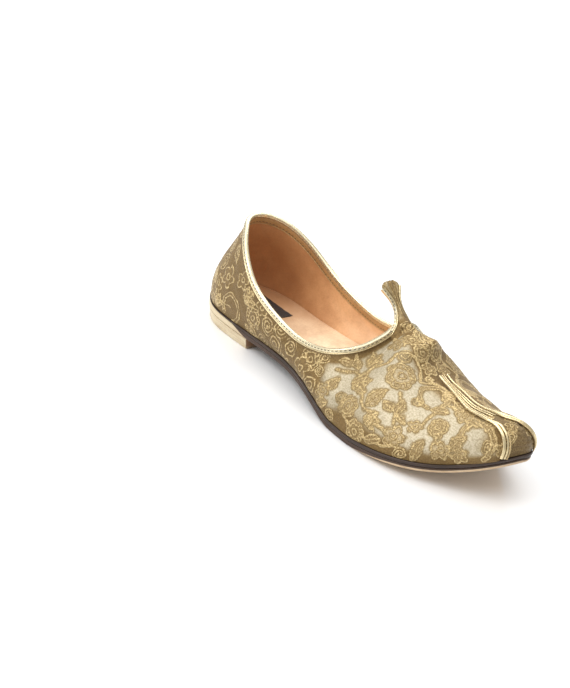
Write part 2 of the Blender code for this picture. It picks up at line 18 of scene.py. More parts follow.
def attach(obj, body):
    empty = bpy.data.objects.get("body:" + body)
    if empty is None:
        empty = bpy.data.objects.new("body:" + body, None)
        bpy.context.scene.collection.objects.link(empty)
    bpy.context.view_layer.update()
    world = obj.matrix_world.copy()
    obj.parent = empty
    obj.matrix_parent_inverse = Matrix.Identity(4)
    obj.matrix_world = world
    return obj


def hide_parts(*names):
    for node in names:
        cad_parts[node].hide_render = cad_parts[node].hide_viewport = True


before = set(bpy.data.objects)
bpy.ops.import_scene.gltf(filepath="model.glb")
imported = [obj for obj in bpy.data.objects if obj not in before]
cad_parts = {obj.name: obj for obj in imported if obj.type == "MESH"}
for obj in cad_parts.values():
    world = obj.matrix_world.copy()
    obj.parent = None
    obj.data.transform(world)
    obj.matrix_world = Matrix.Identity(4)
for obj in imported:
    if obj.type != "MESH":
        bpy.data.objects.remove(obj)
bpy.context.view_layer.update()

Array = NDArray[np.float64]
Curve = Callable[[Array], Array]
Rgb = tuple[float, float, float]
Socket = bpy.types.NodeSocket
Piece = bpy.types.Object
Sizes = tuple[float, float, float]
LOG = logging.getLogger("mojari")
CENTRE = np.array([0.14225, -0.00277, 0.0])
MM = 0.001
NO_EDGE_MM = 30.0


class Side(Enum):
    """A side of the shoe, with the sign of y there."""

    LATERAL = -1.0
    MEDIAL = 1.0


def unit(vectors: Array) -> Array:
    """Scale vectors to length 1.

    Args:
        vectors: Vectors along the last axis.

    Returns:
        The unit vectors.
    """
    return vectors / np.maximum(np.linalg.norm(vectors, axis=-1, keepdims=True), 1e-12)


def stack(along: Array, across: Array, up: Array) -> Array:
    """Join three coordinates, broadcast to one shape, along a new last axis."""
    return np.stack(np.broadcast_arrays(along, across, up), axis=-1)


def smooth(value: Array, low: float, high: float) -> Array:
    """Rise smoothly from 0 at low to 1 at high, as 3t^2 - 2t^3 does.

    Args:
        value: Where to work it out.
        low: The value at which the rise starts.
        high: The value at which it ends, which may lie below low.

    Returns:
        The share risen.
    """
    share = np.clip((value - low) / (high - low), 0.0, 1.0)
    return share * share * (3.0 - 2.0 * share)


def lump(value: Array, middle: float, half_width: float) -> Array:
    """Return a bell curve exp(-(v/w)^2), 1 at the middle."""
    return np.exp(-(((value - middle) / half_width) ** 2))


def spline(knots: Array, values: Array, level_start: bool = False,
           level_end: bool = False) -> Curve:
    """Return the cubic spline through the values, level at an end where asked.

    Args:
        knots: Where the values hold.
        values: One value for each knot.
        level_start: Whether the slope at the first knot is 0, and else the bend is.
        level_end: The same for the last knot.

    Returns:
        A function of places between the knots.
    """
    gap = np.diff(knots)
    slope = np.diff(values) / gap
    count = len(knots)
    matrix = np.eye(count)
    wanted = np.zeros(count)
    inner = np.arange(1, count - 1)
    matrix[inner, inner - 1] = gap[:-1]
    matrix[inner, inner] = 2.0 * (gap[:-1] + gap[1:])
    matrix[inner, inner + 1] = gap[1:]
    wanted[inner] = 6.0 * np.diff(slope)
    if level_start:
        matrix[0, :2] = 2.0 * gap[0], gap[0]
        wanted[0] = 6.0 * slope[0]
    if level_end:
        matrix[-1, -2:] = gap[-1], 2.0 * gap[-1]
        wanted[-1] = -6.0 * slope[-1]
    bend = np.linalg.solve(matrix, wanted)

    def curve(at: Array) -> Array:
        """Return the spline's values.

        Args:
            at: The places.

        Returns:
            One value for each.
        """
        cell = np.clip(np.searchsorted(knots, at, side="right") - 1, 0, count - 2)
        right = (at - knots[cell]) / gap[cell]
        left = 1.0 - right
        sag = (left**3 - left) * bend[cell] + (right**3 - right) * bend[cell + 1]
        return left * values[cell] + right * values[cell + 1] + sag * gap[cell] ** 2 / 6.0

    return curve


def steady(knots: Array, values: Array) -> Curve:
    """Return a smooth curve through the values that never overshoots them.

    Args:
        knots: Where the values hold.
        values: One value for each knot.

    Returns:
        A function of places between the knots, made of Hermite cubics whose slopes are the
        weighted harmonic mean of the chords beside them.
    """
    gap = np.diff(knots)
    slope = np.diff(values) / gap
    turn = slope[:-1] * slope[1:]
    before, after = 2.0 * gap[1:] + gap[:-1], gap[1:] + 2.0 * gap[:-1]
    safe = np.where(turn > 0.0, slope[:-1] * after + slope[1:] * before, 1.0)
    middle = np.where(turn > 0.0, (before + after) * turn / safe, 0.0)
    tangent = np.concatenate([slope[:1], middle, slope[-1:]])

    def curve(at: Array) -> Array:
        """Return the curve's values.

        Args:
            at: The places.

        Returns:
            One value for each, held at the ends beyond them.
        """
        cell = np.clip(np.searchsorted(knots, at, side="right") - 1, 0, len(knots) - 2)
        width = gap[cell]
        share = np.clip((at - knots[cell]) / width, 0.0, 1.0)
        rise = values[cell + 1] - values[cell]
        start, end = width * tangent[cell], width * tangent[cell + 1]
        return values[cell] + share * start + share**2 * (3.0 * rise - 2.0 * start - end) \
            + share**3 * (start + end - 2.0 * rise)

    return curve


def columns(names: str, rows: Sequence[Sequence[float]]) -> dict[str, Array]:
    """Return a table's rows as one array for each named column."""
    return dict(zip(names.split(), np.array(rows, dtype=float).T))


FEATHER = columns("round along lateral medial", [
    (0.0, 0.0, 0.0, 0.0), (0.041, 0.012, 0.125, 0.125), (0.081, 0.041, 0.225, 0.225),
    (0.117, 0.076, 0.29, 0.287), (0.15, 0.112, 0.32, 0.314), (0.194, 0.162, 0.333, 0.322),
    (0.247, 0.224, 0.335, 0.313), (0.318, 0.304, 0.34, 0.303), (0.388, 0.385, 0.363, 0.309),
    (0.46, 0.466, 0.418, 0.344), (0.534, 0.548, 0.476, 0.394), (0.608, 0.629, 0.512, 0.44),
    (0.67, 0.699, 0.518, 0.463), (0.732, 0.769, 0.492, 0.45), (0.799, 0.842, 0.41, 0.387),
    (0.864, 0.902, 0.3, 0.288), (0.912, 0.944, 0.22, 0.21), (0.946, 0.972, 0.15, 0.144),
    (0.976, 0.99, 0.082, 0.078), (1.0, 1.0, 0.0, 0.0)])
LIFT = columns("along seat spring rand", [
    (0.0, 1.12, 0.0, 0.4), (0.12, 0.97, 0.0, 0.45), (0.22, 0.97, 0.0, 0.7),
    (0.32, 1.03, 0.0, 1.0), (0.405, 1.06, 0.0, 1.0), (0.472, 0.88, 0.0, 1.0),
    (0.525, 0.52, 0.0, 1.0), (0.57, 0.15, 0.0, 1.0), (0.6, 0.0, 0.0, 1.0), (0.66, 0.0, 0.0, 1.0),
    (0.71, 0.0, 0.047, 1.0), (0.77, 0.0, 0.12, 1.0), (0.83, 0.0, 0.22, 1.0),
    (0.88, 0.0, 0.355, 1.0), (0.93, 0.0, 0.575, 1.0), (0.97, 0.0, 0.8, 1.0), (1.0, 0.0, 1.0, 1.0)])
COLLAR = columns("round along half back instep", [
    (0.0, 0.06, 0.0, 1.0, 0.0), (0.041, 0.066, 0.094, 0.996, 0.0),
    (0.081, 0.081, 0.175, 0.98, 0.0), (0.117, 0.104, 0.25, 0.947, 0.0),
    (0.15, 0.13, 0.322, 0.887, 0.0), (0.194, 0.169, 0.397, 0.788, 0.0),
    (0.247, 0.218, 0.45, 0.64, 0.03), (0.318, 0.288, 0.479, 0.46, 0.105),
    (0.388, 0.362, 0.49, 0.27, 0.24), (0.45, 0.429, 0.497, 0.12, 0.382),
    (0.5, 0.489, 0.495, 0.03, 0.52), (0.535, 0.529, 0.472, 0.0, 0.608),
    (0.56, 0.559, 0.415, 0.0, 0.67), (0.58, 0.582, 0.306, 0.0, 0.745),
    (0.595, 0.595, 0.178, 0.0, 0.845), (0.605, 0.603, 0.079, 0.0, 0.938),
    (0.612, 0.606, 0.0, 0.0, 1.0)])
RIDGE = columns("round along instep toe aside", [
    (0.612, 0.606, 1.0, 0.0, 0.0), (0.65, 0.641, 0.965, 0.0, 0.0),
    (0.69, 0.676, 0.785, 0.09, 0.0), (0.732, 0.718, 0.465, 0.362, 0.0),
    (0.77, 0.76, 0.185, 0.66, 0.006), (0.8, 0.798, 0.04, 0.845, 0.02),
    (0.835, 0.844, 0.0, 0.882, 0.042), (0.864, 0.875, 0.0, 0.903, 0.052),
    (0.912, 0.909, 0.0, 0.95, 0.057), (0.946, 0.93, 0.0, 0.974, 0.054),
    (0.976, 0.944, 0.0, 0.991, 0.049), (1.0, 0.95, 0.0, 0.997, 0.046)])
BOW = columns("round low_out low_up high_out high_down across", [
    (0.0, 0.055, 0.34, 0.05, 0.34, 0.0), (0.15, 0.05, 0.34, 0.035, 0.34, 0.0),
    (0.25, 0.055, 0.34, 0.02, 0.34, 0.0), (0.39, 0.075, 0.3, 0.015, 0.34, 0.0),
    (0.5, 0.075, 0.35, 0.015, 0.3, 0.0), (0.56, 0.055, 0.42, 0.01, 0.27, 0.0),
    (0.58, 0.045, 0.45, 0.004, 0.22, 0.0), (0.597, 0.03, 0.48, 0.0, 0.17, 0.0),
    (0.612, 0.022, 0.5, 0.0, 0.13, 0.0), (0.65, 0.026, 0.5, 0.0, 0.03, 0.16),
    (0.69, 0.032, 0.48, 0.0, 0.0, 0.32), (0.73, 0.036, 0.47, 0.0, 0.0, 0.4),
    (0.8, 0.036, 0.48, 0.0, 0.0, 0.5), (0.86, 0.034, 0.52, 0.0, 0.0, 0.58),
    (0.91, 0.03, 0.54, 0.0, 0.0, 0.6), (0.95, 0.02, 0.54, 0.0, 0.0, 0.58),
    (1.0, 0.008, 0.52, 0.0, 0.0, 0.54)])
TAB = columns("along half fall", [
    (0.05, 0.415, 0.31), (0.13, 0.315, 0.205), (0.23, 0.235, 0.13), (0.35, 0.18, 0.085),
    (0.49, 0.165, 0.06), (0.62, 0.225, 0.055), (0.75, 0.345, 0.055), (0.86, 0.44, 0.05),
    (0.94, 0.425, 0.045), (1.0, 0.3, 0.04)])
APRON = columns("along ahead lift", [
    (-0.18, 1.0, -0.001), (-0.12, 0.66, 0.0003), (-0.06, 0.33, 0.0005), (0.0, 0.0, 0.0003)])
DRAPES = columns("middle depth width slant", [
    (0.545, 0.0006, 0.012, 0.1), (0.52, -0.0005, 0.011, 0.12), (0.47, 0.0005, 0.016, 0.07),
    (0.43, -0.0004, 0.014, 0.05), (0.34, 0.0003, 0.02, -0.04)])
TAPE = columns("across off", [
    (-0.7, 0.02), (-0.93, 0.03), (-1.02, 0.14), (-1.0, 0.34), (-0.92, 0.42), (-0.93, 0.52),
    (-0.97, 0.66), (-0.86, 0.84), (-0.55, 0.96), (0.0, 1.0)])
PIPING = columns("round_lateral lateral round_medial medial", [
    (0.743, 0.953, 0.743, 0.932), (0.77, 0.945, 0.768, 0.948), (0.8, 0.897, 0.796, 0.958),
    (0.83, 0.863, 0.823, 0.955), (0.86, 0.838, 0.852, 0.945), (0.89, 0.79, 0.882, 0.932),
    (0.915, 0.738, 0.912, 0.908), (0.932, 0.65, 0.936, 0.845), (0.943, 0.52, 0.95, 0.7),
    (0.948, 0.365, 0.957, 0.51), (0.949, 0.215, 0.957, 0.33), (0.947, 0.07, 0.952, 0.08)])


@dataclass
class Last:
    """The form of the upper: ribs that rise from the feather line to the collar and the ridge."""

    length: float = 0.2845
    ball_width: float = 0.100
    collar_width: float = 0.080
    back_height: float = 0.0755
    instep_height: float = 0.0683
    heel_rise: float = 0.0085
    toe_spring: float = 0.030
    toe_depth: float = 0.0153
    throat: float = 0.612
    sole_stack: float = 0.0058
    step: float = 0.0005
    curves: dict[str, Curve] = field(default_factory=dict)

    def __post_init__(self) -> None:
        """Work out the curves of the tables, in metres."""
        top = self.sole_stack + self.toe_spring + self.toe_depth
        collar_up = COLLAR["back"] * self.back_height + COLLAR["instep"] * self.instep_height
        ridge_up = RIDGE["instep"] * self.instep_height + RIDGE["toe"] * top
        self.curves = {
            "along": spline(FEATHER["round"], FEATHER["along"] * self.length, True, True),
            "collar_along": spline(COLLAR["round"], COLLAR["along"] * self.length, True, True),
            "collar_half": spline(COLLAR["round"], COLLAR["half"] * self.collar_width),
            "collar_up": spline(COLLAR["round"], collar_up, True, True),
            "ridge_along": spline(RIDGE["round"], RIDGE["along"] * self.length, False, True),
            "ridge_up": spline(RIDGE["round"], ridge_up, False, True),
            "ridge_aside": spline(RIDGE["round"], RIDGE["aside"] * self.ball_width),
        }
        for name in ("lateral", "medial"):
            self.curves[name] = spline(FEATHER["round"], FEATHER[name] * self.ball_width)
        for name in ("seat", "spring", "rand"):
            self.curves[name] = steady(LIFT["along"], LIFT[name])
        for name in ("low_out", "low_up", "high_out", "high_down", "across"):
            self.curves[name] = spline(BOW["round"], BOW[name])

    def feather_height(self, along: Array) -> Array:
        """Return the feather line's height: the stack plus its lift at heel and toe."""
        share = along / self.length
        return self.sole_stack + self.curves["seat"](share) * self.heel_rise \
            + self.curves["spring"](share) * self.toe_spring

    def outline(self, side: Side, rounds: Array, grow: float = 0.0) -> tuple[Array, Array, Array]:
        """Work out the feather line seen from above, moved outwards.

        Args:
            side: The side of the shoe.
            rounds: Shares of the way from heel to toe.
            grow: How far it is moved along its own normals.

        Returns:
            Its x, its y and its outward normals.
        """
        half = self.curves[side.name.lower()]
        before = np.clip(rounds - self.step, 0.0, 1.0)
        after = np.clip(rounds + self.step, 0.0, 1.0)
        run = self.curves["along"](after) - self.curves["along"](before)
        spread = side.value * (half(after) - half(before))
        run = np.where((rounds <= 0.0) | (rounds >= 1.0), 0.0, run)
        normal = side.value * unit(stack(-spread, run, 0.0))
        return (self.curves["along"](rounds) + grow * normal[..., 0],
                side.value * half(rounds) + grow * normal[..., 1], normal)

    def point(self, side: Side, rounds: Array, ups: Array) -> Array:
        """Work out points of the outer face: each rib is a Bezier cubic with four handles.

        Args:
            side: The side of the shoe.
            rounds: Shares of the way from heel to toe.
            ups: Shares of the way up each rib, from the feather line.

        Returns:
            The points.
        """
        rounds, ups = np.broadcast_arrays(np.asarray(rounds, float), np.asarray(ups, float))
        shape = self.curves
        along, across, normal = self.outline(side, rounds)
        foot = stack(along, across, self.feather_height(along))
        on_collar = rounds < self.throat
        collar, ridge = np.minimum(rounds, self.throat), np.maximum(rounds, self.throat)
        top = stack(
            np.where(on_collar, shape["collar_along"](collar), shape["ridge_along"](ridge)),
            np.where(on_collar, side.value * shape["collar_half"](collar),
                     -shape["ridge_aside"](ridge)),
            np.where(on_collar, shape["collar_up"](collar), shape["ridge_up"](ridge)))
        before = np.clip(ridge - self.step, self.throat, 1.0)
        after = np.clip(ridge + self.step, self.throat, 1.0)
        slope = (shape["ridge_up"](after) - shape["ridge_up"](before)) \
            / (shape["ridge_along"](after) - shape["ridge_along"](before))
        ground = np.linalg.norm((top - foot)[..., :2], axis=-1)
        upright = stack(0.0, 0.0, top[..., 2] - foot[..., 2])
        level = stack(normal[..., 0], normal[..., 1], normal[..., 0] * slope)
        low = foot + normal * (shape["low_out"](rounds) * self.ball_width)[..., None] \
            + upright * shape["low_up"](rounds)[..., None]
        high = top + normal * (shape["high_out"](rounds) * self.ball_width)[..., None] \
            - upright * shape["high_down"](rounds)[..., None] \
            + level * (shape["across"](rounds) * ground)[..., None]
        share = ups[..., None]
        rest = 1.0 - share
        return rest**3 * foot + 3.0 * rest**2 * share * low + 3.0 * rest * share**2 * high \
            + share**3 * top

    def normal(self, side: Side, rounds: Array, ups: Array) -> Array:
        """Work out the outer face's normals, level with the seams that it meets at.

        Args:
            side: The side of the shoe.
            rounds: Shares of the way from heel to toe.
            ups: Shares of the way up each rib.

        Returns:
            The unit normals, from the cross product of central differences.
        """
        rounds, ups = np.broadcast_arrays(np.asarray(rounds, float), np.asarray(ups, float))
        forward = self.point(side, np.clip(rounds + self.step, 0, 1), ups) \
            - self.point(side, np.clip(rounds - self.step, 0, 1), ups)
        upward = self.point(side, rounds, np.clip(ups + self.step, 0, 1)) \
            - self.point(side, rounds, np.clip(ups - self.step, 0, 1))
        ends = ((rounds <= 0.0) | (rounds >= 1.0))[..., None]
        forward = np.where(ends, forward * (0, 1, 0), forward)
        ridge = ((ups >= 1.0) & (rounds >= self.throat))[..., None]
        upward = np.where(ridge, (0.0, -side.value, 0.0), upward)
        forward = np.where(ridge & ends, (1.0, 0.0, 0.0), forward)
        forward = np.where(ridge, forward * (1, 0, 1), forward)
        normal = np.cross(forward, upward) * -side.value
        return unit(np.where((ups <= 0.0)[..., None], normal * (1, 1, 0), normal))

    def drop(self, side: Side, rounds: Array, depth: float) -> Array:
        """Find how far up each rib a line lies that runs a given depth below its top.

        Args:
            side: The side of the shoe.
            rounds: Shares of the way from heel to toe, in one row.
            depth: The depth below the top, measured along the rib.

        Returns:
            The share of the way up each rib.
        """
        ups = np.linspace(1.0, 0.3, 141)
        ribs = self.point(side, rounds[:, None], ups[None, :])
        walked = np.cumsum(np.linalg.norm(np.diff(ribs, axis=1), axis=2), axis=1)
        walked = np.concatenate([np.zeros((len(rounds), 1)), walked], axis=1)
        over = np.argmax(walked >= depth, axis=1)
        rows = np.arange(len(rounds))
        share = (depth - walked[rows, over - 1]) / (walked[rows, over] - walked[rows, over - 1])
        return ups[over - 1] + share * (ups[over] - ups[over - 1])


LAST = Last()


class Graph:
    """A material's nodes, with short calls for the ones that the finishes share."""

    def __init__(self, name: str) -> None:
        """Start a material of that name with one Principled shader."""
        self.material = bpy.data.materials.new(name)
        self.material.use_nodes = True
        self.tree = self.material.node_tree
        self.shader = self.tree.nodes["Principled BSDF"]
        self.place = self.tree.nodes.new("ShaderNodeTexCoord").outputs["Object"]

    def add(self, kind: str, inputs: dict[str | int, object], out: str | int = 0,
            **settings: object) -> Socket:
        """Add a node.

        Args:
            kind: Its type without the leading Shader and Node.
            inputs: What goes into its sockets, a socket or a value for each.
            out: The output that is wanted.
            **settings: Its properties.

        Returns:
            That output.
        """
        node = self.tree.nodes.new("ShaderNode" + kind)
        for name, value in settings.items():
            setattr(node, name, value)
        for name, value in inputs.items():
            self.put(node.inputs[name], value)
        return node.outputs[out]

    def put(self, socket: Socket, value: object) -> None:
        """Link a socket into another one, or set its value.

        Args:
            socket: The socket to fill.
            value: A socket, a number or a colour.
        """
        if isinstance(value, Socket):
            self.tree.links.new(value, socket)
        elif isinstance(value, tuple) and len(value) == 3 and socket.type == "RGBA":
            socket.default_value = (*value, 1.0)
        else:
            socket.default_value = value

    def set(self, **inputs: object) -> None:
        """Set the shader's sockets; an underscore in a name stands for a space."""
        for name, value in inputs.items():
            self.put(self.shader.inputs[name.replace("_", " ")], value)

    def math(self, operation: str, first: object, second: object = 0.0,
             clamp: bool = False) -> Socket:
        """Return the result of one sum on two numbers."""
        return self.add("Math", {0: first, 1: second}, operation=operation, use_clamp=clamp)

    def times(self, first: object, second: object, clamp: bool = False) -> Socket:
        """Return the product of two numbers."""
        return self.math("MULTIPLY", first, second, clamp)

    def mix(self, share: object, first: object, second: object) -> Socket:
        """Return a colour between two, by a share."""
        return self.add("Mix", {0: share, 6: first, 7: second}, 2, data_type="RGBA")

    def multiply(self, share: object, first: object, second: object) -> Socket:
        """Return a colour times another one, by a share."""
        return self.add("Mix", {0: share, 6: first, 7: second}, 2, data_type="RGBA",
                        blend_type="MULTIPLY")

    def rise(self, value: object, low: float, high: float, start: float = 0.0,
             end: float = 1.0) -> Socket:
        """Return a number that goes smoothly from start to end as value goes from low to high."""
        return self.add("MapRange", {"Value": value, "From Min": low, "From Max": high,
                                     "To Min": start, "To Max": end},
                        interpolation_type="SMOOTHSTEP")

    def noise(self, scale: float, detail: float = 3.0, vector: object = None,
              roughness: float = 0.5) -> Socket:
        """Return fractal noise, by default on Object coordinates."""
        return self.add("TexNoise", {"Vector": vector or self.place, "Scale": scale,
                                     "Detail": detail, "Roughness": roughness})

    def cells(self, scale: float, vector: object = None, out: str = "Distance",
              **settings: object) -> Socket:
        """Return a Voronoi texture, by default on Object coordinates."""
        return self.add("TexVoronoi", {"Vector": vector or self.place, "Scale": scale}, out,
                        **settings)

    def field(self, name: str) -> Socket:
        """Return a number that the mesh carries at its points."""
        return self.add("Attribute", {}, "Fac", attribute_name=name)

    def uv(self) -> Socket:
        """Return the piece's UV place, whose units are metres along and across it."""
        return self.add("UVMap", {}, 0, uv_map="UVMap")

    def wave(self, scale: float, vector: object, direction: str) -> Socket:
        """Return sine bands along one axis of a vector."""
        return self.add("TexWave", {"Vector": vector, "Scale": scale, "Distortion": 0.0}, "Fac",
                        wave_type="BANDS", bands_direction=direction)

    def bump(self, height: object, distance: float, strength: float = 1.0,
             normal: object = None) -> Socket:
        """Return a normal bent by a height, whose full range is distance in metres."""
        inputs = {"Height": height, "Distance": distance, "Strength": strength}
        if normal is not None:
            inputs["Normal"] = normal
        return self.add("Bump", inputs)


@dataclass(frozen=True)
class BrocadeFinish:
    """Satin ground woven with gold cord lines and stippled figures.

    The mesh carries thread, the distance to the nearest gold line in millimetres; figure, 1
    inside a stippled figure; tone, the ground's painted sheen and shade: 0 on the pale
    satin of painted sheen, 1 on the olive of painted shade and up to 1.8 where the painted shade
    is deepest; and edge, the distance below the rim in millimetres, which sets a painted shadow
    under the binding.
    """

    # satin is the ground as lit satin, a painted sheen; tan is the ground near the figures; olive
    # and deep are the ground in painted shade, deep on the nose; gold is the thread; bright is its
    # painted highlight and shade its painted shadow.
    satin: Rgb = (0.57, 0.495, 0.35)
    tan: Rgb = (0.40, 0.30, 0.145)
    olive: Rgb = (0.245, 0.153, 0.050)
    deep: Rgb = (0.150, 0.095, 0.038)
    gold: Rgb = (0.40, 0.268, 0.104)
    bright: Rgb = (0.78, 0.61, 0.31)
    shade: Rgb = (0.17, 0.105, 0.038)

    def material(self) -> bpy.types.Material:
        """Build the nodes: ground by painted sheen and shade and by distance, then figures, lines,
        weave and grain.
        """
        g = Graph("brocade")
        thread, figure, tone, edge = (g.field(n) for n in ("thread", "figure", "tone", "edge"))
        uv = g.uv()
        patches = g.noise(90.0, 3.0)
        speck = g.noise(950.0, 3.0, roughness=0.75)
        wide = g.noise(34.0, 2.0)
        ragged = g.rise(g.noise(520.0, 2.0), 0.3, 0.7, -0.2, 0.2)
        # Gold lines run a little wider where the ground's painted shade is darker.
        thread = g.math("SUBTRACT", g.math("ADD", thread, ragged),
                        g.rise(tone, 0.3, 0.9, 0.0, 0.16))
        # The ground: pale satin, a painted sheen, in the open on the lit parts; tan near the
        # figures; olive and then deep, painted shade, where the shade is painted darker.
        open_ground = g.rise(g.math("ADD", thread, g.times(patches, 2.4)), 1.8, 3.1)
        pale = g.times(open_ground, g.rise(tone, 0.75, 0.15), clamp=True)
        base = g.mix(g.rise(g.math("ADD", tone, g.times(wide, 0.5)), 0.45, 1.15),
                     self.tan, self.olive)
        base = g.mix(g.rise(tone, 0.9, 1.8), base, self.deep)
        ground = g.mix(pale, base, self.satin)
        loops = g.cells(760.0, feature="DISTANCE_TO_EDGE")
        loop = g.rise(loops, 0.20, 0.06)
        figured = g.mix(g.times(figure, 0.50), ground, self.gold)
        # Stipple: painted shade in the hollows of the loops and painted highlight on their raised
        # rims.
        figured = g.mix(g.times(figure, g.rise(loops, 0.14, 0.34, 0.0, 0.24)),
                        figured, self.shade)
        figured = g.mix(g.times(figure, g.times(loop, 0.30)),
                        figured, self.bright)
        # Painted shadow: a dark band beside each raised gold line.
        beside = g.times(g.rise(thread, 0.30, 0.50), g.rise(thread, 0.95, 0.58))
        lined = g.mix(g.times(beside, 0.45), figured, self.shade)
        line = g.rise(thread, 0.42, 0.16)
        # The gold lines, with painted highlights in bright spots along their twist.
        twist = g.noise(1300.0, 2.0)
        gold = g.mix(g.rise(twist, 0.38, 0.62), self.gold, self.bright)
        lined = g.mix(line, lined, gold)
        grain = g.mix(g.rise(speck, 0.34, 0.62), (0.62, 0.58, 0.52), (1.0, 1.0, 1.0))
        toned = g.multiply(0.9, lined, grain)
        # Painted shadow under the binding: darker within about 2 mm below the rim.
        rim_shadowed = g.mix(g.times(g.rise(edge, 2.1, 1.3), 0.8), toned, self.shade)
        weave = g.times(g.wave(1100.0, uv, "X"), g.wave(900.0, uv, "Y"))
        lift = g.math("ADD", g.rise(thread, 0.75, 0.1, 0.0, 0.62),
                      g.times(figure, g.rise(loops, 0.30, 0.05, 0.1, 0.45)))
        normal = g.bump(lift, 0.00026, 0.8)
        normal = g.bump(g.math("ADD", speck, g.times(weave, 0.6)), 0.00013, 0.8, normal)
        rough = g.rise(g.math("ADD", pale, g.times(speck, 0.5)), 0.2, 1.3, 0.50, 0.34)
        rough = g.math("SUBTRACT", rough, g.times(line, 0.10))
        g.set(Base_Color=rim_shadowed, Roughness=rough, Metallic=0.45, Normal=normal,
              Sheen_Weight=0.16, Sheen_Roughness=0.35, Sheen_Tint=(1.0, 0.85, 0.6))
        return g.material


@dataclass(frozen=True)
class GiltFinish:
    """Thin metallic leather or cord: a pale gold film with fine creases and rubbed edges."""

    name: str
    color: Rgb
    worn: Rgb
    roughness: float = 0.27
    grain: float = 420.0
    twist: float = 0.0

    def material(self) -> bpy.types.Material:
        """Build the nodes: film colour by noise, creases by cells, and a twist for a cord."""
        g = Graph(self.name)
        blotch = g.noise(260.0, 4.0)
        creases = g.cells(self.grain, feature="DISTANCE_TO_EDGE")
        crease = g.rise(creases, 0.0, 0.05)
        worn = g.rise(g.noise(300.0, 4.0, roughness=0.6), 0.55, 0.75)
        color = g.mix(g.rise(blotch, 0.35, 0.65), self.color,
                      tuple(0.86 * part for part in self.color))
        color = g.mix(g.times(worn, 0.35), color, self.worn)
        height = g.math("ADD", crease, g.times(blotch, 0.6))
        normal = g.bump(height, 0.00003, 0.5)
        if self.twist:
            turned = g.add("Mapping", {"Vector": g.uv(), "Rotation": (0.0, 0.0, 0.62)})
            ply = g.wave(self.twist, turned, "X")
            normal = g.bump(ply, 0.00022, 0.9, normal)
            # Painted shade in the grooves between the cord's plies.
            color = g.multiply(g.rise(ply, 0.5, 0.0, 0.0, 0.6), color, (0.55, 0.42, 0.25))
        rough = g.rise(blotch, 0.3, 0.7, self.roughness - 0.05, self.roughness + 0.12)
        g.set(Base_Color=color, Roughness=rough, Metallic=0.82, Normal=normal,
              Coat_Weight=0.15, Coat_Roughness=0.2)
        return g.material


@dataclass(frozen=True)
class LeatherFinish:
    """Leather: a coloured ground with pores, fine creases, handling marks and darker places.

    heel_shade is painted shade over the back of the shoe, heel_pale a pale colour there, lit
    painted light over the part from the waist to the toe, and breast the colour of what faces
    forward. stained is a colour that comes in by stain, which the mesh carries as the share of
    the way up a sole layer.
    """

    name: str
    color: Rgb
    dark: Rgb
    roughness: float = 0.55
    grain: float = 1300.0
    marks: float = 0.35
    depth: float = 0.00012
    fibres: float = 0.0
    stained: Rgb | None = None
    heel_shade: float = 0.0
    heel_pale: Rgb | None = None
    lit: Rgb | None = None
    breast: Rgb | None = None

    def material(self) -> bpy.types.Material:
        """Build the nodes: blotches and marks tint the colour, pores and creases lift it."""
        g = Graph(self.name)
        blotch = g.noise(45.0, 5.0, roughness=0.6)
        fine = g.noise(700.0, 3.0)
        pores = g.rise(g.cells(self.grain), 0.05, 0.5)
        marks = g.rise(g.noise(120.0, 8.0, roughness=0.75), 0.55, 0.78)
        color = g.mix(g.rise(blotch, 0.32, 0.68, 0.0, 0.5), self.color, self.dark)
        color = g.mix(g.times(marks, self.marks), color, self.dark)
        color = g.multiply(g.rise(fine, 0.6, 0.35, 0.0, 0.35), color, (0.80, 0.74, 0.66))
        split = g.add("SeparateXYZ", {"Vector": g.place})
        # Painted light: lighter towards the toe.
        if self.lit is not None:
            color = g.mix(g.rise(split, -0.060, 0.030, 0.0, 0.9), color, self.lit)
        # Painted shade: darker towards the back of the heel.
        if self.heel_shade:
            back = g.rise(split, -0.050, -0.112, 0.0, self.heel_shade)
            color = g.mix(back, color, self.dark)
        if self.fibres:
            layers = g.noise(1.0, 3.0, g.add("Mapping", {
                "Vector": g.place, "Scale": (60.0, 60.0, self.fibres)}))
            color = g.multiply(g.rise(layers, 0.42, 0.62, 0.0, 0.4), color, (0.72, 0.60, 0.48))
        if self.heel_pale is not None:
            pale = g.mix(g.rise(fine, 0.3, 0.7, 0.0, 0.12), self.heel_pale, self.dark)
            above = g.math("SUBTRACT", g.field("stain"), g.rise(split, -0.136, -0.096, 1.0, 0.0))
            color = g.mix(g.rise(above, 0.06, -0.06), color, pale)
        if self.stained is not None:
            cream = g.mix(g.rise(split, -0.060, -0.100), color, (0.66, 0.55, 0.37))
            low = g.math("SUBTRACT", g.rise(split, -0.098, -0.070, 1.1, -0.06),
                         g.rise(split, 0.040, 0.090, 0.0, -0.62))
            above = g.math("SUBTRACT", g.field("stain"), low)
            color = g.mix(g.rise(above, -0.05, 0.05), cream, self.stained)
        if self.breast is not None:
            facing = g.add("SeparateXYZ", {"Vector": g.add("NewGeometry", {}, "Normal")})
            color = g.mix(g.rise(facing, 0.75, 0.9), color, self.breast)
        normal = g.bump(g.math("ADD", pores, g.times(fine, 0.7)), self.depth, 0.7)
        rough = g.rise(g.math("ADD", blotch, g.times(fine, 0.4)), 0.4, 1.0,
                       self.roughness - 0.08, self.roughness + 0.12)
        g.set(Base_Color=color, Roughness=rough, Normal=normal)
        return g.material


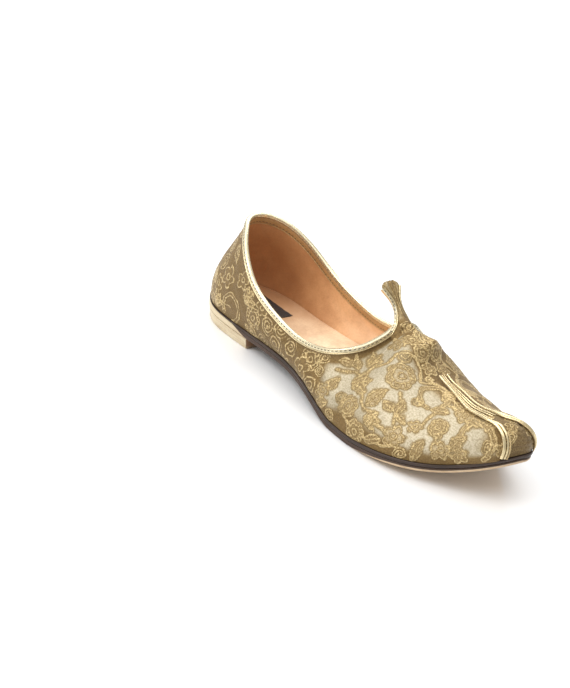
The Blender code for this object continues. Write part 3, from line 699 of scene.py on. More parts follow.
@dataclass(frozen=True)
class WovenFinish:
    """A plain woven patch: fine warp and weft, and no lettering."""

    name: str = "woven_patch"
    color: Rgb = (0.010, 0.009, 0.009)
    light: Rgb = (0.045, 0.040, 0.038)

    def material(self) -> bpy.types.Material:
        """Build the nodes: crossing sine bands lift the threads, and painted highlight lightens
        their tops.
        """
        g = Graph(self.name)
        uv = g.uv()
        weave = g.times(g.wave(560.0, uv, "X"), g.wave(420.0, uv, "Y"))
        fuzz = g.noise(900.0, 4.0)
        # Painted highlight on the raised threads.
        color = g.mix(g.times(weave, g.rise(fuzz, 0.3, 0.7)), self.color, self.light)
        g.set(Base_Color=color, Roughness=g.rise(fuzz, 0.3, 0.7, 0.55, 0.8),
              Normal=g.bump(weave, 0.0001, 0.8), Sheen_Weight=0.2)
        return g.material


@dataclass(frozen=True)
class ThreadFinish:
    """Sewing thread, with painted shade between its plies."""

    name: str
    color: Rgb
    dark: Rgb

    def material(self) -> bpy.types.Material:
        """Build the nodes: fine noise gives the plies."""
        g = Graph(self.name)
        ply = g.noise(2600.0, 2.0)
        # Painted shade where the ply bump is low.
        color = g.mix(g.rise(ply, 0.35, 0.65), self.dark, self.color)
        g.set(Base_Color=color, Roughness=g.rise(ply, 0.3, 0.7, 0.45, 0.7),
              Normal=g.bump(ply, 0.0001, 0.8))
        return g.material


class Finishes:
    """Every material of the shoe, built once."""

    def __init__(self) -> None:
        """Build the materials."""
        self.brocade = BrocadeFinish().material()
        self.gilt = GiltFinish("gilt_binding", (0.80, 0.70, 0.47), (0.62, 0.49, 0.27)).material()
        self.bead = GiltFinish("gilt_bead", (0.80, 0.66, 0.39), (0.55, 0.41, 0.19),
                               0.24).material()
        self.cord = GiltFinish("gold_cord", (0.72, 0.56, 0.30), (0.42, 0.29, 0.12), 0.33,
                               twist=420.0).material()
        self.dark = LeatherFinish(
            "dark_edge", (0.048, 0.026, 0.016), (0.016, 0.009, 0.006), 0.42, grain=900.0,
            marks=0.5, heel_pale=(0.60, 0.49, 0.31)).material()
        self.sole = LeatherFinish(
            "pale_leather", (0.70, 0.53, 0.34), (0.42, 0.27, 0.15), 0.5, fibres=1600.0,
            stained=(0.060, 0.032, 0.019)).material()
        self.block = LeatherFinish(
            "heel_leather", (0.78, 0.69, 0.50), (0.60, 0.48, 0.30), 0.45, fibres=900.0,
            marks=0.25, breast=(0.26, 0.13, 0.06)).material()
        # The lining: painted light towards the toe and painted shade inside the heel.
        self.lining = LeatherFinish(
            "lining_leather", (0.76, 0.43, 0.205), (0.42, 0.18, 0.065), 0.5, heel_shade=0.55,
            marks=0.3, lit=(0.90, 0.60, 0.35)).material()
        # The insole: painted shadow over its heel.
        self.insole = LeatherFinish(
            "insole_leather", (0.97, 0.73, 0.49), (0.52, 0.27, 0.12), heel_shade=0.85,
            marks=0.2).material()
        # The facing band's dark brown-gold is partly painted shade on the gilt tape's fold inside
        # the collar.
        self.facing = LeatherFinish(
            "facing_leather", (0.50, 0.29, 0.115), (0.30, 0.15, 0.05), 0.42,
            marks=0.3).material()
        self.patch = WovenFinish().material()
        self.dash = ThreadFinish("dark_thread", (0.105, 0.072, 0.034),
                                 (0.035, 0.023, 0.011)).material()
        self.light_dash = ThreadFinish("pale_thread", (0.80, 0.66, 0.38),
                                       (0.45, 0.33, 0.15)).material()


class Kind(Enum):
    """A figure of the brocade."""

    ROSE = "rose"
    LEAF = "leaf"
    RING = "ring"
    FLOWER = "flower"
    TULIP = "tulip"
    CURL = "curl"


@dataclass(frozen=True)
class Motif:
    """One figure on the upper: where its middle lies, its half size and how it is turned."""

    kind: Kind
    round: float
    up: float
    size_mm: float
    turn: float = 0.0


ROSE, LEAF, RING, FLOWER, TULIP, CURL = Kind


def saw(value: Array) -> Array:
    """Return how far each value lies from the nearest whole number."""
    return np.abs(value - np.round(value))


def leaf_lines(x: Array, y: Array) -> tuple[Array, Array]:
    """Work out one leaf of half length 1 that lies along x.

    Args:
        x: Places along the leaf.
        y: Places across it.

    Returns:
        The distance to its edge, midrib and slanting veins, and 1 inside it. Its half width is
        0.46 (1 - x^2)^0.8 with small lobes.
    """
    bell = np.maximum(1.0 - x**2, 0.0) ** 0.8
    half = 0.46 * bell * (1.0 - 0.25 * x) + 0.05 * np.sin(9.0 * np.pi * x) * bell
    inside = (np.abs(y) < half) & (np.abs(x) < 1.0)
    beyond = np.maximum(np.abs(x) - 1.0, 0.0)
    edge = np.hypot(np.abs(np.abs(y) - half) * 0.85, beyond)
    veins = saw((x - 0.8 * np.abs(y)) * 2.6) / 2.6 * 0.8
    lines = np.minimum(edge, np.hypot(y, beyond))
    return np.where(inside, np.minimum(lines, veins + 0.05), lines), inside.astype(float)


def figure_lines(kind: Kind, x: Array, y: Array) -> tuple[Array, Array]:
    """Work out one figure of half size 1.

    Args:
        kind: The figure.
        x: Places along its axis.
        y: Places across it.

    Returns:
        The distance to its nearest gold line, and its stippled fill from 0 to 1.
    """
    radius, angle = np.hypot(x, y), np.arctan2(y, x)
    if kind is LEAF:
        return leaf_lines(x, y)
    if kind is TULIP:
        lines, fill = leaf_lines(x, y)
        for lean in (0.75, -0.75):
            c, s = np.cos(lean), np.sin(lean)
            more, inside = leaf_lines((x + 0.75) * c + y * s - 0.6, (y * c - (x + 0.75) * s))
            lines, fill = np.minimum(lines, more), np.maximum(fill, inside)
        return lines, fill
    if kind is ROSE:
        outer = 0.82 + 0.16 * np.abs(np.cos(3.5 * angle)) ** 0.7
        middle = 0.52 + 0.12 * np.abs(np.cos(2.5 * angle + 0.7)) ** 0.7
        spokes = radius * saw(angle * 7.0 / np.pi) * np.pi / 7.0
        spokes = np.where((radius > middle + 0.07) & (radius < outer - 0.10), spokes, 9.0)
        lines = np.minimum.reduce([np.abs(radius - outer), np.abs(radius - middle),
                                   np.abs(radius - 0.24), spokes])
        return lines, (radius < outer) * np.where(radius < middle, 0.75, 1.0)
    if kind is RING:
        gap = np.abs(angle) > 0.55
        ends = np.minimum(np.hypot(x - 0.74, y - 0.50), np.hypot(x - 0.74, y + 0.50))
        arcs = np.minimum(np.abs(radius - 1.0), np.abs(radius - 0.78))
        lines = np.minimum(np.where(gap, arcs, 9.0), np.abs(ends - 0.13))
        return lines, np.where(gap, smooth(np.abs(radius - 0.89), 0.15, 0.09), 0.0)
    if kind is FLOWER:
        outer = 0.55 + 0.42 * np.abs(np.cos(2.5 * angle)) ** 0.8
        lines = np.minimum(np.abs(radius - outer) * 0.8, np.abs(radius - 0.27))
        return lines, (radius < outer).astype(float)
    turns = 0.36
    arm = saw(radius / turns - angle / (2.0 * np.pi)) * turns
    lines = np.where((radius < 1.0) & (radius > 0.10), arm, np.abs(radius - 1.0) + 0.3)
    return lines, np.zeros_like(x)


LATERAL_VAMP = [Motif(*row) for row in (
    (ROSE, 0.69, 0.615, 9.4, 20.0), (LEAF, 0.667, 0.35, 8.4, 60.0),
    (TULIP, 0.616, 0.35, 7.0, 35.0), (ROSE, 0.616, 0.175, 7.4, 70.0),
    (TULIP, 0.606, 0.56, 5.2, 70.0), (FLOWER, 0.629, 0.7, 5.6, 10.0),
    (LEAF, 0.564, 0.8, 5.4, 20.0), (LEAF, 0.578, 0.73, 5.0, 130.0),
    (LEAF, 0.706, 0.4, 5.4, -10.0), (LEAF, 0.722, 0.455, 5.6, 100.0),
    (LEAF, 0.737, 0.385, 4.6, -35.0), (FLOWER, 0.738, 0.216, 7.0, 15.0),
    (RING, 0.765, 0.735, 10.2, -60.0), (TULIP, 0.788, 0.85, 5.0, -30.0),
    (LEAF, 0.787, 0.65, 5.8, 10.0), (FLOWER, 0.764, 0.398, 4.6, 25.0),
    (ROSE, 0.801, 0.475, 6.0, 0.0), (FLOWER, 0.832, 0.77, 6.4, 40.0),
    (LEAF, 0.812, 0.815, 5.0, -40.0), (RING, 0.888, 0.4, 12.0, -75.0),
    (LEAF, 0.85, 0.35, 6.6, 70.0), (ROSE, 0.655, 0.06, 7.6, 10.0),
    (LEAF, 0.787, 0.165, 7.4, 80.0), (FLOWER, 0.826, 0.225, 6.0, 40.0),
    (FLOWER, 0.87, 0.14, 5.0, 60.0), (LEAF, 0.7, 0.085, 6.4, 25.0), (ROSE, 0.69, 0.9, 6.0, 10.0),
    (FLOWER, 0.722, 0.915, 5.2, 0.0), (FLOWER, 0.655, 0.85, 5.0, 35.0),
    (LEAF, 0.66, 0.965, 5.6, -10.0), (CURL, 0.745, 0.6, 4.2, 0.0), (CURL, 0.59, 0.27, 4.2, 80.0),
    (CURL, 0.62, 0.905, 4.6, 0.0), (LEAF, 0.56, 0.46, 5.6, 65.0),
    (FLOWER, 0.545, 0.33, 5.4, 0.0), (LEAF, 0.548, 0.13, 6.4, 30.0),
    (CURL, 0.58, 0.06, 4.6, 0.0), (FLOWER, 0.9, 0.69, 4.2, 0.0), (LEAF, 0.866, 0.69, 5.0, -20.0),
    (CURL, 0.918, 0.3, 4.4, 30.0), (CURL, 0.76, 0.06, 4.6, 0.0))]
QUARTER = [Motif(*row) for row in (
    (RING, 0.197, 0.2, 10.4, 250.0), (FLOWER, 0.156, 0.525, 7.6, 10.0),
    (ROSE, 0.283, 0.471, 8.2, 0.0), (CURL, 0.343, 0.688, 6.8, 40.0),
    (CURL, 0.368, 0.35, 7.6, 120.0), (ROSE, 0.487, 0.724, 8.0, 0.0),
    (CURL, 0.505, 0.217, 7.0, 10.0), (FLOWER, 0.47, 0.44, 7.8, 0.0),
    (CURL, 0.427, 0.684, 6.6, 200.0), (FLOWER, 0.216, 0.8, 6.8, 20.0))]
VINES = (
    ((0.554, 0.672), (0.575, 0.618), (0.589, 0.529), (0.6, 0.44)),
    ((0.596, 0.459), (0.605, 0.444), (0.619, 0.471), (0.641, 0.544), (0.645, 0.61),
     (0.669, 0.734), (0.693, 0.819), (0.712, 0.81), (0.722, 0.74)),
    ((0.62, 0.36), (0.632, 0.3), (0.648, 0.232), (0.677, 0.251), (0.696, 0.224),
     (0.725, 0.216)),
    ((0.708, 0.54), (0.712, 0.517), (0.719, 0.452), (0.723, 0.371), (0.727, 0.32),
     (0.735, 0.25)),
    ((0.774, 0.44), (0.777, 0.525), (0.783, 0.6)),
    ((0.722, 0.74), (0.728, 0.749), (0.74, 0.819), (0.766, 0.896), (0.798, 0.861)),
    ((0.797, 0.749), (0.81, 0.768), (0.84, 0.691), (0.855, 0.56)),
    ((0.616, 0.115), (0.635, 0.08), (0.655, 0.06), (0.7, 0.06), (0.74, 0.11)),
    ((0.801, 0.42), (0.812, 0.3), (0.826, 0.225), (0.85, 0.16)),
)


@dataclass
class Embroidery:
    """The brocade's gold lines and figures on one side, as distances on the upper's points."""

    side: Side
    seed: int
    slide: float = 0.0
    reach_mm: float = 7.0
    least_mm: float = 3.4
    spread_mm: float = 2.2
    heel_more_mm: float = 1.8
    heel_end: float = 0.52
    tries: int = 900

    def __post_init__(self) -> None:
        """Gather the figures: the set ones, then small ones spread over what is bare."""
        placed = [Motif(m.kind, m.round + self.slide, m.up, m.size_mm, m.turn)
                  for m in LATERAL_VAMP + QUARTER]
        chance = np.random.default_rng(self.seed)
        spots = LAST.point(self.side, *np.array([(m.round, m.up) for m in placed]).T)
        sizes = [m.size_mm for m in placed]
        kinds = (CURL, FLOWER, LEAF, CURL, TULIP)
        fresh: list[Motif] = []
        for place in chance.random((self.tries, 2)):
            size = self.least_mm + self.spread_mm * chance.random() \
                + self.heel_more_mm * (place[0] < self.heel_end)
            at = Motif(kinds[len(fresh) % len(kinds)], 0.02 + 0.96 * place[0],
                       0.03 + 0.94 * place[1], float(size), float(360.0 * chance.random()))
            spot = LAST.point(self.side, np.array(at.round), np.array(at.up))
            room = np.linalg.norm(spots - spot, axis=-1) / MM
            if np.all(room > 0.93 * (np.array(sizes) + at.size_mm)):
                fresh.append(at)
                spots = np.vstack([spots, spot])
                sizes.append(at.size_mm)
        self.motifs = placed + fresh
        self.tendrils = self.join(spots, len(placed), chance)

    def join(self, spots: Array, first: int, chance: np.random.Generator) -> list[Array]:
        """Run a bowed stem from each spread figure to the nearest earlier one.

        Args:
            spots: The figures' middles.
            first: The number of the first spread figure.
            chance: The random numbers.

        Returns:
            The stems, each a row of points near the surface.
        """
        stems = []
        share = np.linspace(0.0, 1.0, 9)[:, None]
        for index in range(first, len(spots)):
            gaps = np.linalg.norm(spots[:index] - spots[index], axis=1)
            near = int(np.argmin(gaps))
            line = spots[index] * (1.0 - share) + spots[near] * share
            bow = unit(np.cross(spots[near] - spots[index],
                                np.cross((0.0, 0.0, 1.0), line[len(line) // 2])))
            line = line + bow * np.sin(share * np.pi) * gaps[near] * chance.uniform(-0.2, 0.2)
            stems.append(line)
        return stems

    def frames(self) -> tuple[Array, Array, Array]:
        """Return each figure's middle, its axis along the surface and the one across it."""
        rounds, ups, turns = np.array([(m.round, m.up, m.turn) for m in self.motifs]).T
        turns = np.radians(turns)[:, None]
        middles = LAST.point(self.side, rounds, ups)
        normals = LAST.normal(self.side, rounds, ups)
        rise = LAST.point(self.side, rounds, np.clip(ups + 0.01, 0, 1)) \
            - LAST.point(self.side, rounds, np.clip(ups - 0.01, 0, 1))
        rise = unit(rise - (rise * normals).sum(-1, keepdims=True) * normals)
        ahead = np.cross(rise, normals) * -self.side.value
        return (middles, np.cos(turns) * ahead + np.sin(turns) * rise,
                np.cos(turns) * rise - np.sin(turns) * ahead)

    def cut(self, points: Array, lines: Array, width_mm: float, thread: Array,
            figure: Array) -> None:
        """Draw one polyline as two parallel gold lines, by distances to its pieces.

        Args:
            points: The upper's points.
            lines: The polyline's points.
            width_mm: How far each gold line lies from the middle.
            thread: The distance to gold so far, which is lowered in place.
            figure: The fill so far, which is raised in place.
        """
        reach = self.reach_mm * MM
        low, high = lines.min(0) - reach, lines.max(0) + reach
        near = np.flatnonzero(np.all((points > low) & (points < high), axis=1))
        start, run = lines[:-1], np.diff(lines, axis=0)
        away = points[near, None, :] - start[None]
        share = np.clip((away * run).sum(-1) / (run**2).sum(-1), 0.0, 1.0)
        gap = np.linalg.norm(away - share[..., None] * run, axis=2).min(axis=1) / MM
        thread[near] = np.minimum(thread[near], np.abs(gap - width_mm))
        figure[near] = np.maximum(figure[near], smooth(gap, width_mm + 0.1, width_mm - 0.1) * 0.8)

    def draw(self, points: Array) -> tuple[Array, Array]:
        """Work out the pattern on the upper's points.

        Args:
            points: The points of the last, in rows.

        Returns:
            The distance to the nearest gold line in millimetres, and the stippled fill.
        """
        flat = points.reshape(-1, 3)
        flat = flat + 0.00045 * np.sin(flat[:, [1, 2, 0]] * 610.0 + (0.3, 1.1, 2.3)) \
            + 0.00030 * np.sin(flat[:, [2, 0, 1]] * 1150.0 + (0.9, 0.2, 1.7))
        thread = np.full(len(flat), self.reach_mm)
        figure = np.zeros(len(flat))
        for vine in VINES:
            knots = np.array(vine) + (self.slide, 0.0)
            travel = np.arange(len(knots), dtype=float)
            fine = np.linspace(0.0, travel[-1], 8 * len(knots))
            line = LAST.point(self.side, spline(travel, knots[:, 0])(fine),
                              spline(travel, knots[:, 1])(fine))
            self.cut(flat, line, 0.55, thread, figure)
        for stem in self.tendrils:
            self.cut(flat, stem, 0.0, thread, figure)
        for motif, middle, along, across in zip(self.motifs, *self.frames()):
            away = flat - middle
            reach = (motif.size_mm * 1.15 + self.reach_mm) * MM
            near = np.flatnonzero((away**2).sum(1) < reach**2)
            scale = motif.size_mm * MM
            x, y = away[near] @ along / scale, away[near] @ across / scale
            lines, fill = figure_lines(motif.kind, x, y)
            own = (np.hypot(x, y) < 0.8) & (fill > 0.0)
            lines = lines * motif.size_mm
            thread[near] = np.where(own, lines, np.minimum(thread[near], lines))
            figure[near] = np.maximum(figure[near], fill)
        return thread.reshape(points.shape[:2]), figure.reshape(points.shape[:2])


def new_piece(name: str, points: Array, faces: Array, corners: Array, places: Array,
              fields: dict[str, Array] | None = None, caps: Sequence[Sequence[int]] = (),
              weld: bool = False) -> Piece:
    """Make a mesh object from whole arrays.

    Args:
        name: The piece's name.
        points: Its points, in the shoe's own metres.
        faces: Four point numbers for each face.
        corners: For each face, four numbers of rows in places.
        places: UV places in metres.
        fields: Numbers at the points, by name.
        caps: Loops of point numbers that close its ends.
        weld: Whether points that coincide are made one, and normals worked out again.

    Returns:
        The object, at the origin, with its place in its mesh.
    """
    mesh = bpy.data.meshes.new(name)
    mesh.vertices.add(len(points))
    mesh.vertices.foreach_set("co", (points - CENTRE).ravel())
    loops = np.concatenate([faces.ravel(), *[np.array(cap) for cap in caps]]).astype(np.int32)
    totals = np.array([4] * len(faces) + [len(cap) for cap in caps], dtype=np.int32)
    mesh.loops.add(len(loops))
    mesh.loops.foreach_set("vertex_index", loops)
    mesh.polygons.add(len(totals))
    mesh.polygons.foreach_set(
        "loop_start", np.concatenate([[0], np.cumsum(totals)[:-1]]).astype(np.int32))
    layer = mesh.uv_layers.new(name="UVMap")
    uv = np.zeros((len(loops), 2))
    uv[:faces.size] = places[corners.ravel()]
    layer.data.foreach_set("uv", uv.ravel())
    for label, values in (fields or {}).items():
        mesh.attributes.new(label, "FLOAT", "POINT").data.foreach_set(
            "value", values.ravel().astype(np.float32))
    mesh.update(calc_edges=True)
    mesh.validate()
    if weld:
        work = bmesh.new()
        work.from_mesh(mesh)
        bmesh.ops.remove_doubles(work, verts=work.verts, dist=0.000004)
        bmesh.ops.recalc_face_normals(work, faces=work.faces)
        work.to_mesh(mesh)
        work.free()
    mesh.shade_smooth()
    mesh.set_sharp_from_angle(angle=0.9)
    piece = bpy.data.objects.new(name, mesh)
    bpy.context.scene.collection.objects.link(piece)
    return piece


def outward(piece: Piece) -> Piece:
    """Turn a closed piece's faces outwards where its signed volume is below 0.

    Args:
        piece: The piece.

    Returns:
        The same piece.
    """
    work = bmesh.new()
    work.from_mesh(piece.data)
    if work.calc_volume(signed=True) < 0.0:
        bmesh.ops.reverse_faces(work, faces=work.faces)
        work.to_mesh(piece.data)
    work.free()
    return piece


def loft(name: str, rings: Array, fields: dict[str, Array] | None = None,
         weld: bool = False) -> Piece:
    """Join closed rings one after another, with caps on both ends.

    Args:
        name: The piece's name.
        rings: Points, by ring and then round the ring.
        fields: Numbers at the points, in the same two axes.
        weld: Whether coinciding points are made one.

    Returns:
        The object. Its UV runs in metres along the rings' first line and round the first ring.
    """
    count, width = rings.shape[:2]
    ring, spot = np.indices((count - 1, width)).reshape(2, -1)
    after = (spot + 1) % width
    faces = np.stack([ring * width + spot, ring * width + after,
                      (ring + 1) * width + after, (ring + 1) * width + spot], axis=1)
    row = width + 1
    corners = (ring * row + spot)[:, None] + (0, 1, row + 1, row)
    lengths = np.linalg.norm(np.diff(rings, axis=0), axis=2).mean(axis=1)
    along = np.concatenate([[0.0], np.cumsum(lengths)])
    shut = np.concatenate([rings, rings[:, :1]], axis=1)
    girth = np.linalg.norm(np.diff(shut, axis=1), axis=2).mean(axis=0)
    around = np.concatenate([[0.0], np.cumsum(girth)])
    places = np.stack(np.meshgrid(along, around, indexing="ij"), axis=-1).reshape(-1, 2)
    last_ring = (count - 1) * width
    caps = (list(range(width))[::-1], list(range(last_ring, last_ring + width)))
    piece = new_piece(name, rings.reshape(-1, 3), faces, corners, places, fields, caps, weld)
    return outward(piece)


def sweep(path: Array, out: Array, profile: Array, scale: Array | float = 1.0) -> Array:
    """Carry a closed profile along a path.

    Args:
        path: The path's points.
        out: The direction away from the surface at each point.
        profile: Profile points, as (across, off) pairs in metres.
        scale: One factor for all or for each path point.

    Returns:
        Rings: path + across * beside + off * out, where beside is square to the path and out.
    """
    run = unit(np.gradient(path, axis=0))
    beside = unit(np.cross(run, out))
    off = np.cross(beside, run)
    factor = np.broadcast_to(scale, (len(path),))[:, None, None]
    return path[:, None] + factor * (profile[None, :, :1] * beside[:, None]
                                     + profile[None, :, 1:] * off[:, None])


def circle(radius: float, sides: int, flat: float = 1.0) -> Array:
    """Return a circle's or a flattened circle's profile."""
    turn = np.arange(sides) / sides * 2.0 * np.pi
    return np.stack([radius * np.cos(turn), radius * flat * np.sin(turn)], axis=1)


def between(vectors: Array, places: Array, at: Array | float) -> Array:
    """Return vectors that are known at some places, worked out in between at others."""
    return np.stack([np.interp(at, places, vectors[:, k]) for k in range(3)], axis=-1)


def even(path: Array, step: float, *others: Array) -> list[Array]:
    """Walk a path at even steps.

    Args:
        path: The path's points.
        step: The distance between the new points.
        *others: Vectors that go along with the path.

    Returns:
        The path and the others at the new points.
    """
    walked = np.concatenate([[0.0], np.cumsum(np.linalg.norm(np.diff(path, axis=0), axis=1))])
    at = np.linspace(0.0, walked[-1], max(int(round(walked[-1] / step)), 2) + 1)
    return [between(each, walked, at) for each in (path, *others)]


def calm(rows: Array, reach: int) -> Array:
    """Soften a row of vectors by a bell-shaped mean over reach neighbours each way."""
    weights = np.exp(-((np.arange(-reach, reach + 1) / (0.5 * reach)) ** 2))
    padded = np.concatenate([2 * rows[0] - rows[reach:0:-1], rows,
                             2 * rows[-1] - rows[-2:-reach - 2:-1]])
    return np.stack([np.convolve(padded[:, k], weights / weights.sum(), "valid")
                     for k in range(3)], axis=1)


def stitches(name: str, middles: Array, along: Array, out: Array, length: float, width: float,
             height: float) -> Piece:
    """Lay many small stitches, each a pillow of 6 rings of 6 points.

    Args:
        name: The piece's name.
        middles: The stitches' middles.
        along: Their directions.
        out: The directions away from the surface.
        length: A stitch's length.
        width: Its width.
        height: Its height.

    Returns:
        The object, whose rings are ellipses with a half width of sqrt(1 - t^4).
    """
    along = unit(along)
    out = unit(out - (out * along).sum(-1, keepdims=True) * along)
    across = np.cross(along, out)
    travel = np.array([-1.0, -0.82, -0.35, 0.35, 0.82, 1.0])
    girth = np.array([0.25, 0.72, 1.0, 1.0, 0.72, 0.25])
    turn = np.arange(6) / 6.0 * 2.0 * np.pi
    ring = stack(travel[:, None] * length / 2.0, girth[:, None] * np.cos(turn) * width / 2.0,
                 girth[:, None] * np.sin(turn) * height / 2.0)
    body = ring.reshape(-1, 3)
    points = middles[:, None] + body[None, :, :1] * along[:, None] \
        + body[None, :, 1:2] * across[:, None] + body[None, :, 2:] * out[:, None]
    rings, sides = np.indices((5, 6)).reshape(2, -1)
    after = (sides + 1) % 6
    quad = np.stack([rings * 6 + sides, rings * 6 + after, (rings + 1) * 6 + after,
                     (rings + 1) * 6 + sides], axis=1)
    ends = np.array([[0, 5, 4, 3], [0, 3, 2, 1], [30, 31, 32, 33], [30, 33, 34, 35]])
    quad = np.concatenate([quad, ends])
    faces = (np.arange(len(middles))[:, None, None] * 36 + quad[None]).reshape(-1, 4)
    flat = points.reshape(-1, 3)
    piece = new_piece(name, flat, faces, faces, flat[:, :2])
    return outward(piece)


def dress(piece: Piece, material: bpy.types.Material, slot: str,
          *nodes: str) -> Piece:
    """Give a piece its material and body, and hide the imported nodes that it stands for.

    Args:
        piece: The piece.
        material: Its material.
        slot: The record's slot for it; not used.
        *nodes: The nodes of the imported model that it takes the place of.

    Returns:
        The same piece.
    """
    piece.data.materials.clear()
    piece.data.materials.append(material)
    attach(piece, "root")
    if nodes:
        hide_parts(*nodes)
    LOG.info("%s: %d points, %d faces", piece.name, len(piece.data.vertices),
             len(piece.data.polygons))
    return piece


@dataclass
class ToeSeam:
    """One of the two lines at which the side panels meet the panel over the nose."""

    side: Side

    def places(self, count: int) -> tuple[Array, Array]:
        """Return the line's shares round and up, at places from the strip to the sole."""
        name = self.side.name.lower()
        travel = np.linspace(0.0, 1.0, len(PIPING[name]))
        fine = np.linspace(0.0, 1.0, count)
        return (spline(travel, PIPING["round_" + name])(fine),
                spline(travel, PIPING[name])(fine))

    def line(self, count: int = 200) -> tuple[Array, Array]:
        """Return the line's points and the normals there."""
        rounds, ups = self.places(count)
        return LAST.point(self.side, rounds, ups), LAST.normal(self.side, rounds, ups)

    def beyond(self, rounds: Array, ups: Array) -> Array:
        """Return whether places lie on the nose's side of the line."""
        seam_rounds, seam_ups = self.places(120)
        order = np.argsort(seam_ups)
        at = np.interp(ups, seam_ups[order], seam_rounds[order])
        above = ups > seam_ups.max()
        return np.where(above, rounds > seam_rounds[0], rounds > at)


@dataclass
class Cover:
    """The brocade over one side of the last, with its bulges, folds and drapes."""

    side: Side
    embroidery: Embroidery
    thickness: float = 0.0010
    ribs: int = 560
    rows: int = 138
    inner_rows: int = 8
    bulge: float = 0.0011
    sink: float = 0.0006
    hump: float = 0.0034

    def relief(self, rounds: Array, ups: Array, points: Array) -> tuple[Array, Array]:
        """Work out how far the cloth lies off the last.

        Args:
            rounds: Shares of the way from heel to toe.
            ups: Shares of the way up.
            points: The last's points there.

        Returns:
            The height off the last, as a sum of bells for the folds and a pillow behind each
            toe seam, and 1 on the nose panel.
        """
        seam = ToeSeam(self.side)
        line, _ = seam.line(160)
        flat = points.reshape(-1, 3)
        near = np.flatnonzero(rounds.ravel() > 0.66)
        gap = np.full(len(flat), 0.05)
        for part in np.array_split(near, 12):
            gap[part] = np.sqrt(((flat[part, None] - line[None]) ** 2).sum(-1).min(1))
        gap = gap.reshape(rounds.shape)
        nose = seam.beyond(rounds, ups).astype(float)
        toe = smooth(rounds, 0.74, 0.90)
        behind = smooth(gap, 0.0, 0.0045) * smooth(gap, 0.030, 0.006)
        height = self.bulge * behind * toe * (1.0 - nose)
        height -= self.sink * smooth(gap, 0.0005, 0.004) * nose * smooth(rounds, 0.86, 0.93)
        gathers = np.cos(ups * 46.0) * lump(rounds, 0.985, 0.03) * nose
        height += 0.00018 * gathers * smooth(ups, 0.95, 0.6)
        lean = rounds - 0.685 + 0.05 * (1.0 - ups)
        far = 0.45 if self.side is Side.MEDIAL else -0.6
        reach = smooth(ups, 0.60, 0.92) * (1.0 + far * smooth(ups, 1.0, 0.9))
        height += self.hump * reach * (lump(lean, 0.0, 0.014) - 0.12 * lump(lean, 0.028, 0.012))
        for middle, depth, width, slant in zip(*DRAPES.values()):
            drape = lump(rounds + slant * (ups - 0.5), middle, width)
            height += depth * drape * smooth(ups, 0.05, 0.35) * smooth(ups, 1.0, 0.7)
        ripple = np.sin(rounds * 71.0 + 4.0 * ups) * np.sin(ups * 11.0 + rounds * 23.0)
        height += 0.00022 * ripple * smooth(ups, 0.0, 0.12) * smooth(ups, 1.0, 0.86)
        return height, nose

    def build(self) -> Piece:
        """Build the shell: outer rows up the side, inner rows down again, a ring for each rib."""
        walk = np.linspace(0.0, 1.0, 401)
        dense = np.cumsum(0.80 + 0.45 * smooth(walk, 0.46, 0.54))
        rounds = np.interp(np.linspace(dense[0], dense[-1], self.ribs), dense, walk)[:, None]
        ups = np.linspace(0.0, 1.0, self.rows)[None, :]
        grid_rounds, grid_ups = np.broadcast_arrays(rounds, ups)
        points = LAST.point(self.side, rounds, ups)
        normals = LAST.normal(self.side, rounds, ups)
        thread, figure = self.embroidery.draw(points)
        height, nose = self.relief(grid_rounds, grid_ups, points)
        lift = 0.00010 * figure + 0.00012 * smooth(thread, 0.8, 0.2)
        rim = smooth(grid_ups, 1.0, 0.985)
        outer = points + normals * (height + lift * rim)[..., None]
        inside = np.linspace(1.0, 0.0, self.inner_rows)[None, :]
        inner = LAST.point(self.side, rounds, inside) \
            - self.thickness * LAST.normal(self.side, rounds, inside)
        rings = np.concatenate([outer, inner], axis=1)
        # The distance below the rim sets the painted shadow under the binding; near the neck,
        # where no binding runs, it is set far off so that no shadow is painted.
        drop = np.linalg.norm(np.diff(points[:, ::-1], axis=1), axis=2).cumsum(axis=1)
        drop = np.concatenate([np.zeros((self.ribs, 1)), drop], axis=1)[:, ::-1] / MM
        drop = drop + NO_EDGE_MM * smooth(grid_rounds, LAST.throat - 0.017,
                                          LAST.throat - 0.012)
        fields = {}
        for name, values in (("thread", np.where(nose > 0, np.minimum(thread, 2.0), thread)),
                             ("figure", np.maximum(figure, 0.4 * nose)
                              * (1.0 - 0.85 * smooth(grid_rounds, 0.56, 0.50))),
                             ("tone", self.tone(grid_rounds, grid_ups, nose)), ("edge", drop)):
            rest = np.repeat(values[:, -1:], self.inner_rows, axis=1)
            fields[name] = np.concatenate([values, rest], axis=1)
        return loft("brocade_" + self.side.name.lower(), rings, fields)

    def tone(self, rounds: Array, ups: Array, nose: Array) -> Array:
        """Work out the ground's painted sheen and shade.

        Args:
            rounds: Shares of the way from heel to toe.
            ups: Shares of the way up.
            nose: 1 on the nose panel.

        Returns:
            0 on the pale satin of painted sheen on the vamp's side, about 1 on the olive painted
            shade of the heel, foot and ridge, and above that on the nose, where the painted shade
            is deepest.
        """
        heel = smooth(rounds, 0.56, 0.50) * (0.85 + 0.35 * smooth(rounds, 0.06, 0.20))
        far = self.side is Side.MEDIAL
        top = smooth(ups, 0.35, 0.62) if far else 1.3 * smooth(ups, 0.66, 0.94)
        foot = 0.9 * smooth(ups, 0.27, 0.05)
        front = 0.85 * smooth(rounds, 0.86, 0.94) * smooth(ups, 0.10, 0.30)
        return np.maximum.reduce([heel, top, foot, front, nose * 1.75])


